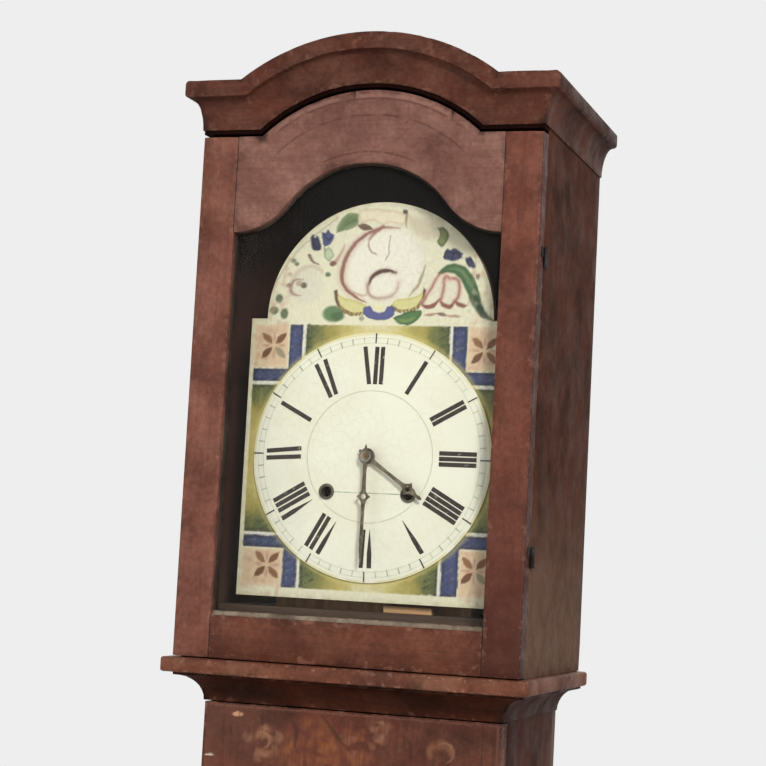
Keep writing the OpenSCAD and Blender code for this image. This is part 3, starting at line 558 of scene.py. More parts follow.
@dataclass(frozen=True)
class DialPaint:
    """Oil paint on the dial, crazed and yellowed under its varnish, from the mesh's own painted colours."""

    name: str
    ground: Rgb
    stain: Rgb
    rough: float = 0.34
    crazing: float = 0.16
    rings: tuple[Ring, ...] = ()
    painted: bool = True

    def make(self) -> bpy.types.Material:
        """Builds the finish's node tree."""
        s = Shader(self.name)
        cloud = s.ramp(s.noise(16.0, detail=5.0), 0.4, 0.72)
        colour = s.blend(s.math("MULTIPLY", cloud, 0.45), self.ground, self.stain)
        if self.painted:
            art = s.own("paint")
            brush = s.ramp(s.noise(420.0, s.stretch((1.0, 1.0, 0.6)), 3.0), 0.3, 0.7, 0.95, 1.04)
            laid = s.blend(1.0, art.outputs["Color"], s.grey(brush), "MULTIPLY")
            colour = s.blend(art.outputs["Alpha"], colour, laid)
        for ring in self.rings:
            colour = ring.draw(s, colour)
        crack = s.ramp(s.cells(115.0, s.warped(0.012), "DISTANCE_TO_EDGE"), 0.0, 0.035, 1.0, 0.0)
        crack = s.math("MULTIPLY", crack, s.ramp(s.noise(9.0), 0.4, 0.62))
        colour = s.blend(s.math("MULTIPLY", crack, self.crazing), colour, (120, 104, 74))
        fly = s.math("LESS_THAN", s.cells(70.0), 0.035)
        colour = s.blend(s.math("MULTIPLY", fly, 0.35), colour, (104, 92, 66))
        height = s.math("SUBTRACT", s.math("MULTIPLY", s.noise(90.0, detail=4.0), 0.6), crack)
        return s.finish(colour, s.ramp(s.noise(25.0), 0.3, 0.7, self.rough - 0.06, self.rough + 0.12), height,
                        0.00012)


@dataclass(frozen=True)
class InkPaint:
    """Thin black paint of the numerals and lines, rubbed through in places."""

    name: str
    ink: Rgb
    under: Rgb
    worn: float = 0.5

    def make(self) -> bpy.types.Material:
        """Builds the finish's node tree."""
        s = Shader(self.name)
        rubbed = s.ramp(s.noise(260.0, s.stretch((1.0, 1.0, 0.8)), 5.0, 0.65), 0.6, 0.7)
        shade = s.ramp(s.noise(120.0), 0.3, 0.7)
        colour = s.blend(shade, self.ink, shaded(self.ink, 1.35))
        colour = s.blend(s.math("MULTIPLY", rubbed, self.worn), colour, self.under)
        return s.finish(colour, 0.42, s.noise(500.0), 0.00005)


@dataclass(frozen=True)
class Metal:
    """Metal with tarnish in clouds, fine rubbing marks and dark specks, and painted shade in front of a depth
    if one is given.
    """

    name: str
    bright: Rgb
    tarnish: Rgb
    rough: float
    metal: float = 1.0
    cloud: float = 60.0
    front: float | None = None

    def make(self) -> bpy.types.Material:
        """Builds the finish's node tree. What lies in front of a depth in metres is painted near black:
        painted shade.
        """
        s = Shader(self.name)
        cloud = s.ramp(s.noise(self.cloud, detail=6.0, rough=0.62), 0.36, 0.66)
        colour = s.blend(cloud, self.tarnish, self.bright)
        speck = s.ramp(s.noise(self.cloud * 9, detail=3.0), 0.58, 0.7)
        colour = s.tint(colour, speck, 0.5, shaded(self.tarnish, 0.55))
        if self.front is not None:
            # Painted shade: the metal in front of the depth is near black.
            colour = s.blend(s.math("LESS_THAN", s.axis("Y"), self.front), colour, (26, 22, 16))
        scratch = s.ramp(s.noise(900.0, s.stretch((1.0, 1.0, 0.06)), 2.0), 0.6, 0.72)
        rough = s.math("ADD", s.ramp(cloud, 0.0, 1.0, self.rough + 0.22, self.rough),
                       s.math("MULTIPLY", scratch, 0.12))
        height = s.math("ADD", s.noise(self.cloud * 6), s.math("MULTIPLY", scratch, 0.4))
        return s.finish(colour, rough, height, 0.00008, self.metal)


@dataclass(frozen=True)
class OldGlass:
    """Thin old window glass with slight waves, smears and dust."""

    name: str
    alpha: float = 0.045

    def make(self) -> bpy.types.Material:
        """Builds the finish's node tree."""
        s = Shader(self.name)
        smear = s.ramp(s.noise(14.0, s.stretch((1.0, 1.0, 0.6)), 5.0, 0.6, 1.2), 0.5, 0.8, 0.0, 0.03)
        dust = s.ramp(s.noise(700.0), 0.68, 0.78, 0.0, 0.04)
        lens = s.add("ShaderNodeLayerWeight", {"Blend": 0.2})
        alpha = s.math("ADD", s.math("MULTIPLY", lens.outputs["Fresnel"], 0.2), self.alpha)
        alpha = s.math("ADD", alpha, s.math("ADD", smear, dust), True)
        s.plug(alpha, s.main.inputs["Alpha"])
        return s.finish((92, 88, 84), 0.05, s.noise(7.0, detail=2.0), 0.0006, gloss=0.5)


@dataclass(frozen=True)
class GutLine:
    """Twisted gut line."""

    name: str

    def make(self) -> bpy.types.Material:
        """Builds the finish's node tree."""
        s = Shader(self.name)
        wave = s.add("ShaderNodeTexWave", {"Vector": s.place, "Scale": 260.0, "Distortion": 1.5},
                     bands_direction="DIAGONAL")
        colour = s.blend(wave.outputs[1], (104, 78, 48), (176, 146, 100))
        colour = s.blend(s.ramp(s.noise(35.0), 0.45, 0.75), colour, (86, 66, 46))
        return s.finish(colour, 0.55, wave.outputs[1], 0.0003)


# Wooden pieces


@dataclass(frozen=True)
class Softening:
    """How a CAD board is worn, in mm: its arris, its mesh cells, how ragged and how round at its ends."""

    arris: float = 0.9
    cell: tuple[float, float, float] = (12.0, 14.0, 24.0)
    ragged: float = 0.35
    ends: float = 0.0


def sharp_edges(bm: bmesh.types.BMesh, angle: float) -> list[bmesh.types.BMEdge]:
    """Finds the edges where the surface turns by more than an angle in radians."""
    return [e for e in bm.edges if e.is_manifold and e.calc_face_angle(0) > angle]


def bevel(bm: bmesh.types.BMesh, edges: list, width: float, segments: int, profile: float = 0.5) -> None:
    """Rounds some edges by a width in mm."""
    bmesh.ops.bevel(bm, geom=edges, offset=width * MM, segments=segments, profile=profile, affect="EDGES",
                    clamp_overlap=True)


@dataclass
class Board:
    """A wooden piece made from a copy of its CAD node, with worn arrises. In metres and radians."""

    node: str
    finish: bpy.types.Material
    soft: Softening = Softening()
    merge: float = 2e-5
    flat: float = 0.012
    sharp: float = 0.6
    crease: float = 0.45
    shortest: float = 4e-4
    end_depth: float = 5e-4
    sample: float = 0.005
    ragged_within: float = 0.0016
    arris_reach: float = 0.011
    hollow_reach: float = 0.012

    def make(self) -> bpy.types.Object:
        """Builds the worn copy, rides it on its body and hides the CAD node.

        Returns:
            The finished piece.
        """
        mesh = frame["nodes"][self.node].data.copy()
        bm = bmesh.new()
        bm.from_mesh(mesh)
        bmesh.ops.remove_doubles(bm, verts=bm.verts, dist=self.merge)
        bmesh.ops.dissolve_limit(bm, angle_limit=self.flat, verts=bm.verts, edges=bm.edges)
        bmesh.ops.recalc_face_normals(bm, faces=bm.faces)
        out_tree, in_tree = self.edge_trees(bm)
        if self.soft.ends:
            reach = max(abs(v.co.x) for v in bm.verts) - self.end_depth
            ends = [e for e in sharp_edges(bm, self.sharp) if all(abs(v.co.x) > reach for v in e.verts)]
            bevel(bm, ends, self.soft.ends, 3)
        sharp = [e for e in sharp_edges(bm, self.sharp) if e.calc_length() > self.shortest]
        if self.soft.arris and sharp:
            bevel(bm, sharp, self.soft.arris, 2)
        self.cut(bm)
        bmesh.ops.triangulate(bm, faces=[f for f in bm.faces if len(f.verts) > 4])
        bm.normal_update()
        self.rag(bm, out_tree)
        bm.to_mesh(mesh)
        bm.free()
        piece = add_object(f"{self.node}_wood", mesh)
        self.mark(mesh, out_tree, in_tree)
        mesh.materials.clear()
        mesh.materials.append(self.finish)
        mesh.polygons.foreach_set("use_smooth", [True] * len(mesh.polygons))
        mesh.set_sharp_from_angle(angle=math.radians(24))
        return settle(piece, self.node, True)

    def edge_trees(self, bm: bmesh.types.BMesh) -> tuple[kdtree.KDTree, kdtree.KDTree]:
        """Samples the sharp edges of a mesh.

        Args:
            bm: The merged copy of the CAD mesh.

        Returns:
            A tree of places on outward edges and one of places on inward edges.
        """
        places: dict[bool, list[Vector]] = {True: [], False: []}
        for edge in sharp_edges(bm, self.crease):
            a, b = (v.co for v in edge.verts)
            count = max(1, int((b - a).length / self.sample))
            places[edge.is_convex] += [a.lerp(b, (i + 0.5) / count) for i in range(count)] + [a, b]
        trees = []
        for key in (True, False):
            tree = kdtree.KDTree(len(places[key]))
            for i, place in enumerate(places[key]):
                tree.insert(place, i)
            tree.balance()
            trees.append(tree)
        return trees[0], trees[1]

    def cut(self, bm: bmesh.types.BMesh) -> None:
        """Cuts the mesh along a grid, so that wear has places to be kept at."""
        points = np.array([v.co for v in bm.verts])
        for axis in range(3):
            low, high = points[:, axis].min(), points[:, axis].max()
            count = int((high - low) / (self.soft.cell[axis] * MM))
            normal = Vector([float(i == axis) for i in range(3)])
            for i in range(1, count):
                geometry = bm.verts[:] + bm.edges[:] + bm.faces[:]
                bmesh.ops.bisect_plane(bm, geom=geometry, plane_co=normal * (low + (high - low) * i / count),
                                       plane_no=normal, dist=1e-6)

    def rag(self, bm: bmesh.types.BMesh, out_tree: kdtree.KDTree) -> None:
        """Wears the arrises back a little, unevenly."""
        if not self.soft.ragged:
            return
        co = np.array([v.co for v in bm.verts]) / MM
        uneven = smooth_noise(co[:, 0] + co[:, 1] * 1.3, co[:, 2], 17, 5) + smooth_noise(
            co[:, 0] - co[:, 1], co[:, 2], 61, 9)
        for vert, value in zip(bm.verts, uneven):
            distance = out_tree.find(vert.co)[2] if out_tree else None
            if distance is not None and distance < self.ragged_within:
                vert.co -= vert.normal * max(0.0, value) * self.soft.ragged * MM * 0.7

    def mark(self, mesh: bpy.types.Mesh, out_tree: kdtree.KDTree, in_tree: kdtree.KDTree) -> None:
        """Keeps on each point how near it is to an outward and an inward edge."""
        for name, tree, reach in (("arris", out_tree, self.arris_reach),
                                  ("hollow", in_tree, self.hollow_reach)):
            values = np.zeros(len(mesh.vertices))
            for i, vert in enumerate(mesh.vertices):
                distance = tree.find(vert.co)[2]
                if distance is not None:
                    values[i] = max(0.0, 1 - distance / reach)
            mesh.attributes.new(name, "FLOAT", "POINT").data.foreach_set("value", values)


# Painting on a grid of points


class Taper(Enum):
    """How a brush stroke's width runs from its start to its end."""

    EVEN = "even"
    LEAF = "leaf"
    TAIL = "tail"
    HEAD = "head"

    def share(self, t: np.ndarray) -> np.ndarray:
        """Gives the share of the full width along the stroke."""
        if self is Taper.LEAF:
            return np.sin(math.pi * np.clip(t, 0.02, 0.98)) ** 0.7
        if self is Taper.TAIL:
            return 1 - 0.85 * t ** 1.4
        if self is Taper.HEAD:
            return 0.15 + 0.85 * t ** 0.8
        return np.ones_like(t)


class Painting:
    """Colours on a set of places, built up from washes and brush strokes in mm."""

    def __init__(self, x: np.ndarray, z: np.ndarray, seed: int = 1) -> None:
        """Starts with bare ground at every place.

        Args:
            x: Places across, in mm.
            z: Places up, in mm.
            seed: Picks how the brush wavers.
        """
        self.x = x + 0.35 * smooth_noise(x, z, 9, seed) + 0.2 * smooth_noise(x, z, 3.6, seed + 1)
        self.z = z + 0.35 * smooth_noise(x, z, 9, seed + 2) + 0.2 * smooth_noise(x, z, 3.6, seed + 3)
        self.rgb = np.zeros((len(x), 3))
        self.cover = np.zeros(len(x))

    def lay(self, share: np.ndarray, colour: Sequence[float] | np.ndarray) -> None:
        """Lays a colour over what is there, by a share at each place."""
        share = np.clip(share, 0, 1)
        total = share + self.cover * (1 - share)
        keep = np.where(total > 1e-6, share / np.maximum(total, 1e-6), 0)[:, None]
        self.rgb = np.array(colour, dtype=float) * keep + self.rgb * (1 - keep)
        self.cover = total

    def distance(self, line: np.ndarray, closed: bool = False) -> tuple[np.ndarray, np.ndarray]:
        """Measures every place's distance from a line.

        Args:
            line: The line's points.
            closed: Whether its ends are joined.

        Returns:
            The distance in mm, and how far along the line its nearest point is, from 0 to 1.
        """
        ends = np.vstack([line, line[:1]]) if closed else line
        best, along = np.full(len(self.x), 1e9), np.zeros(len(self.x))
        count = len(ends) - 1
        for i in range(count):
            a, d = ends[i], ends[i + 1] - ends[i]
            t = np.clip(((self.x - a[0]) * d[0] + (self.z - a[1]) * d[1]) / max(d @ d, 1e-9), 0, 1)
            gap = np.hypot(self.x - a[0] - t * d[0], self.z - a[1] - t * d[1])
            nearer = gap < best
            best, along = np.where(nearer, gap, best), np.where(nearer, (i + t) / count, along)
        return best, along

    def stroke(self, points: Sequence[Point], width: float, colour: Rgb, strength: float = 1.0,
               soft: float = 0.7, taper: Taper = Taper.EVEN, fade: float = 0.0) -> None:
        """Draws one brush stroke.

        Args:
            points: The middle of the stroke.
            width: Its full width.
            colour: Its colour.
            strength: How well it covers.
            soft: How far its rim fades, in mm.
            taper: How its width runs.
            fade: The share of its strength that is lost by its end.
        """
        gap, along = self.distance(through(points))
        half = width / 2 * taper.share(along)
        share = np.clip((half - gap) / soft + 0.5, 0, 1)
        self.lay(share * strength * (1 - fade * along), colour)

    def wash(self, outline: Sequence[Point], colour: Rgb, strength: float = 1.0, soft: float = 0.8,
             rim: Rgb | None = None, rim_width: float = 3.0, curved: bool = True) -> None:
        """Fills a shape.

        Args:
            outline: The shape's corners.
            colour: Its colour in the middle.
            strength: How well it covers.
            soft: How far its rim fades, in mm.
            rim: The colour towards its rim, if it differs.
            rim_width: How deep that colour reaches, in mm.
            curved: Whether a smooth line joins the corners.
        """
        line = through(list(outline) + [outline[0]], 4)[:-1] if curved else np.array(outline, dtype=float)
        gap, _ = self.distance(line, True)
        inside = np.zeros(len(self.x), dtype=bool)
        for a, b in zip(line, np.roll(line, -1, axis=0)):
            crosses = (a[1] > self.z) != (b[1] > self.z)
            with np.errstate(divide="ignore", invalid="ignore"):
                inside ^= crosses & (self.x < (b[0] - a[0]) * (self.z - a[1]) / (b[1] - a[1]) + a[0])
        signed = np.where(inside, gap, -gap)
        share = np.clip(signed / soft + 0.5, 0, 1) * strength
        if rim is None:
            self.lay(share, colour)
            return
        deep = np.clip(signed / rim_width, 0, 1)[:, None]
        self.lay(share, np.array(rim, dtype=float) * (1 - deep) + np.array(colour, dtype=float) * deep)

    def dab(self, x: float, z: float, across: float, up: float, colour: Rgb, strength: float = 1.0,
            soft: float = 0.35) -> None:
        """Lays a round dab."""
        reach = np.hypot((self.x - x) / across, (self.z - z) / up)
        self.lay(np.clip((1 - reach) / soft, 0, 1) * strength, colour)

    def keep(self, mesh: bpy.types.Mesh) -> None:
        """Writes the painting to a mesh as its attribute."""
        colours = np.hstack([unbend(self.rgb / FULL), self.cover[:, None]])
        mesh.attributes.new("paint", "FLOAT_COLOR", "POINT").data.foreach_set("color", colours.ravel())


def grid_faces(rows: int, columns: int, keep: Callable[[int, int], bool] | None = None) -> list:
    """Joins a grid of points, row by row, into faces that look towards -Y."""
    faces = []
    for j in range(rows - 1):
        for i in range(columns - 1):
            if keep is None or keep(i, j):
                a = j * columns + i
                faces.append((a, a + 1, a + columns + 1, a + columns))
    return faces


def painted_panel(name: str, datum: Datum, xs: np.ndarray, zs: np.ndarray, face: float, sink: float,
                  finish: bpy.types.Material) -> tuple[bpy.types.Object, np.ndarray, np.ndarray]:
    """Makes a flat layer of paint with its rim turned back onto the board.

    Args:
        name: The piece's name.
        datum: The drawing's origin.
        xs: The places of its columns, in mm.
        zs: The places of its rows, in mm.
        face: The depth of its face, in mm.
        sink: How far its rim goes back, in mm.
        finish: Its material.

    Returns:
        The piece and the places of its points across and up.
    """
    columns = np.concatenate([xs[:1], xs, xs[-1:]])
    rows = np.concatenate([zs[:1], zs, zs[-1:]])
    x, z = (a.ravel() for a in np.meshgrid(columns, rows))
    row, column = (a.ravel() for a in np.mgrid[0:len(rows), 0:len(columns)])
    rim = (row == 0) | (row == len(rows) - 1) | (column == 0) | (column == len(columns) - 1)
    y = np.where(rim, face + sink, face)
    piece = make_piece(name, datum.many(x, y, z), grid_faces(len(rows), len(columns)), finish)
    return piece, x, z


# Geometry Nodes


class Repeater(Tree):
    """Builds a Geometry Nodes tree and turns what it makes into a plain mesh piece."""

    def __init__(self, name: str, finish: bpy.types.Material) -> None:
        """Starts a tree that has a geometry input and output."""
        super().__init__(bpy.data.node_groups.new(f"{name}_tree", "GeometryNodeTree"))
        self.name = name
        self.finish = finish
        for way in ("INPUT", "OUTPUT"):
            self.tree.interface.new_socket("Geometry", in_out=way, socket_type="NodeSocketGeometry")
        self.source = self.add("NodeGroupInput")
        self.target = self.add("NodeGroupOutput")
        self.values: dict[str, float] = {}

    def size(self, name: str, value: float) -> Socket:
        """Adds a named input for a size in metres, or a count, and gives its socket."""
        kind = "NodeSocketInt" if isinstance(value, int) else "NodeSocketFloat"
        item = self.tree.interface.new_socket(name, in_out="INPUT", socket_type=kind)
        self.values[item.identifier] = value
        return next(s for s in self.source.outputs if s.identifier == item.identifier)

    def attribute(self, name: str) -> Socket:
        """Reads a vector kept on the points that came in."""
        node = self.add("GeometryNodeInputNamedAttribute", {"Name": name}, data_type="FLOAT_VECTOR")
        return node.outputs[0]

    def tube(self, curve: Socket, ring: Socket) -> Socket:
        """Runs a round section along a curve, with closed ends."""
        links = {"Curve": curve, "Profile Curve": ring, "Fill Caps": True}
        return self.add("GeometryNodeCurveToMesh", links).outputs[0]

    def build(self, last: Socket, points: Sequence[Vector] = ((0, 0, 0),),
              attributes: dict[str, list] | None = None, joined: bool = False) -> bpy.types.Object:
        """Runs the tree and keeps its result as a plain mesh.

        Args:
            last: The geometry that the tree has made.
            points: The points that the tree starts from.
            attributes: Vectors kept on those points, by name.
            joined: Whether edges join the points, in order.

        Returns:
            The piece, with no modifier.
        """
        real = self.add("GeometryNodeRealizeInstances", {"Geometry": last})
        dressed = self.add("GeometryNodeSetMaterial", {"Geometry": real.outputs[0], "Material": self.finish})
        self.tree.links.new(dressed.outputs[0], self.target.inputs[0])
        mesh = bpy.data.meshes.new(f"{self.name}_points")
        edges = [(i, i + 1) for i in range(len(points) - 1)] if joined else []
        mesh.from_pydata([tuple(p) for p in points], edges, [])
        for name, rows in (attributes or {}).items():
            data = mesh.attributes.new(name, "FLOAT_VECTOR", "POINT").data
            data.foreach_set("vector", np.array(rows, dtype=float).ravel())
        carrier = add_object(f"{self.name}_carrier", mesh)
        modifier = carrier.modifiers.new("repeat", "NODES")
        modifier.node_group = self.tree
        for identifier, value in self.values.items():
            modifier[identifier] = value
        graph = bpy.context.evaluated_depsgraph_get()
        plain = bpy.data.meshes.new_from_object(carrier.evaluated_get(graph), depsgraph=graph)
        plain.name = self.name
        bpy.data.objects.remove(carrier)
        return add_object(self.name, plain)


def bars(name: str, finish: bpy.types.Material, places: list[Vector], turns: list, sizes: list,
         thick: float) -> bpy.types.Object:
    """Repeats a flat tapering bar at given places.

    Args:
        name: The piece's name.
        finish: Its material.
        places: Where each bar's middle is, in metres.
        turns: Each bar's turn about the three axes.
        sizes: Each bar's width and length in metres, with a 1 between them for its thickness.
        thick: The bars' thickness, in metres.

    Returns:
        The piece.
    """
    r = Repeater(name, finish)
    thickness = r.size("Thickness", thick)
    size = r.add("ShaderNodeCombineXYZ", {"X": 1.0, "Y": thickness, "Z": 1.0})
    cube = r.add("GeometryNodeMeshCube", {"Size": size.outputs[0]})
    spots = r.add("GeometryNodeMeshToPoints", {"Mesh": r.source.outputs[0]})
    turn = r.add("FunctionNodeEulerToRotation", {"Euler": r.attribute("turn")})
    placed = r.add("GeometryNodeInstanceOnPoints", {"Points": spots.outputs[0], "Instance": cube.outputs[0],
                                                   "Rotation": turn.outputs[0], "Scale": r.attribute("size")})
    return r.build(placed.outputs[0], places, {"turn": turns, "size": sizes})


def winding(name: str, finish: bpy.types.Material, radius: float, gut: float, turns: int,
            span: float) -> bpy.types.Object:
    """Winds a line round a drum that lies along Z, about the origin.

    Args:
        name: The piece's name.
        finish: Its material.
        radius: The radius of the drum, in metres.
        gut: The radius of the line, in metres.
        turns: How many turns there are.
        span: How much of the drum they cover, in metres.

    Returns:
        The piece, still about the origin.
    """
    r = Repeater(name, finish)
    drum, line = r.size("Drum radius", radius), r.size("Line radius", gut)
    middle = r.math("ADD", drum, line)
    coil = r.add("GeometryNodeCurveSpiral", {"Resolution": 28, "Rotations": float(turns), "Height": r.size(
        "Span", span), "Start Radius": middle, "End Radius": middle})
    ring = r.add("GeometryNodeCurvePrimitiveCircle", {"Resolution": 7, "Radius": line})
    return r.build(r.tube(coil.outputs[0], ring.outputs[0]))


# The case, the hood and its door


@dataclass
class CaseBoards:
    """The base, the trunk and the mouldings of the case."""

    trunk_inside: float = 0.1245
    base_inside: float = 0.1455
    hood_from: float = 1.56

    def finishes(self) -> dict[str, bpy.types.Material]:
        """Builds the finishes of the case's boards, by what they are for."""
        red = ((95, 49, 36), (110, 66, 50), (58, 32, 24))
        plain = dict(rough=0.72, gloss=0.1, inside_wood_and_shade=(74, 58, 46))
        kinds = {
            "front": PaintedWood("trunk_front_paint", *red, Grain.UPRIGHT),
            "rail": PaintedWood("trunk_rail_paint", *red, Grain.ACROSS),
            "side": PaintedWood("trunk_side_paint", (80, 43, 34), (92, 57, 47), (52, 27, 21), Grain.UPRIGHT,
                                inside=self.trunk_inside, **plain),
            "base_side": PaintedWood("base_side_paint", (82, 45, 35), (94, 60, 49), (52, 27, 21),
                                     Grain.UPRIGHT, inside=self.base_inside, **plain),
            "moulding": PaintedWood("waist_paint", (64, 30, 20), (80, 45, 33), (38, 17, 11), Grain.ACROSS,
                                    wear=0.2),
            # The throat is painted very dark: its own dark paint, and painted shade under the hood's base.
            "throat": PaintedWood("throat_paint_and_shade", (66, 30, 16), (76, 41, 26), (44, 19, 10), Grain.ACROSS,
                                  wear=0.1, gloss=0.08),
            "skirting": PaintedWood("skirting_paint", (62, 31, 22), (82, 52, 40), (36, 18, 12), Grain.ACROSS),
            # Inside the hood the backboard's face is greyed dark as painted shade.
            "back": BareWood("backboard_wood", (112, 88, 64), (74, 54, 38), Grain.UPRIGHT,
                             hood_shade_from=self.hood_from, hood_shade_to=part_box("backboard")[1].y - MM),
            "seat": BareWood("seatboard_wood", (104, 80, 60), (70, 52, 38), Grain.ACROSS),
            "wedge": BareWood("wedge_wood", (214, 170, 122), (178, 128, 84), Grain.ACROSS, dust_share=0.1)}
        return {key: kind.make() for key, kind in kinds.items()}

    def build(self) -> None:
        """Makes every board of the case."""
        f = self.finishes()
        long_cell = Softening(cell=(12.0, 14.0, 40.0))
        boards = [("base_skirting", "skirting", Softening(1.6, (16, 16, 14), 0.9)),
                  ("base_front", "front", long_cell), ("base_sides", "base_side", long_cell),
                  ("waist_moulding", "moulding", Softening(1.0)), ("trunk_side_left", "side", long_cell),
                  ("trunk_side_right", "side", long_cell), ("trunk_rails", "rail", Softening()),
                  ("throat_moulding", "throat", Softening(0.8)), ("seatboard", "seat", Softening()),
                  ("seatboard_wedge", "wedge", Softening(0.5, (8, 8, 8), 0.2)),
                  ("trunk_door", "front", long_cell)]
        for node, key, soft in boards:
            Board(node, f[key], soft).make()
        dress("backboard", f["back"])
        log.info("case: %d boards", len(boards) + 1)


@dataclass
class Hood:
    """The hood: sides, roof, head board, cornice and base plate."""

    side_inside: float = 0.1497

    def build(self) -> None:
        """Makes the hood's boards and mouldings."""
        # The hood's sides are near black inside: old bare wood, and painted shade of the closed hood.
        side = PaintedWood("hood_side_paint", body=(82, 47, 34), haze=(96, 60, 45), dark=(56, 31, 22),
                           grain=Grain.UPRIGHT, foot=(116, 90, 74), foot_from=1.62, foot_to=1.82,
                           inside=self.side_inside, inside_wood_and_shade=(30, 29, 31), wear=0.2, rough=0.74,
                           gloss=0.05).make()
        # The cornice's right return, past its edge, carries painted shade.
        cornice = PaintedWood("cornice_paint", body=(91, 51, 39), haze=(104, 67, 54), dark=(64, 36, 28),
                              grain=Grain.ACROSS, wear=0.15, hollow_soil_and_shade=0.6, gloss=0.08,
                              edge=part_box("hood_cornice")[1].x - 3e-4).make()
        plate = PaintedWood("base_plate_paint", body=(116, 68, 50), haze=(134, 92, 70), dark=(80, 45, 33),
                            grain=Grain.ACROSS, wear=0.4).make()
        roof = PaintedWood("roof_paint", body=(60, 44, 38), haze=(88, 76, 66), dark=(40, 28, 24),
                           grain=Grain.DEEP, wear=0.3).make()
        # The head board shows only as the band between the door and the cornice; its near-black paint is
        # painted shade of that gap.
        gap = PaintedWood("head_board_painted_shade", body=(27, 11, 7), haze=(32, 14, 9), dark=(18, 7, 5),
                          grain=Grain.ACROSS, wear=0.0, rough=0.85, gloss=0.02).make()
        Board("hood_side_left", side, Softening(1.0, (14, 14, 24), 0.5)).make()
        Board("hood_side_right", side, Softening(1.0, (14, 14, 24), 0.5)).make()
        Board("hood_roof", roof, Softening(0.4, (14, 40, 14), 0.0)).make()
        Board("hood_head_board", gap, Softening(0.0, (14, 14, 14), 0.0)).make()
        Board("hood_cornice", cornice, Softening(1.8, (12, 24, 12), 0.6, 4.0)).make()
        Board("hood_base_frame", plate, Softening(2.2, (12, 20, 6), 0.7)).make()
        log.info("hood: 6 boards")


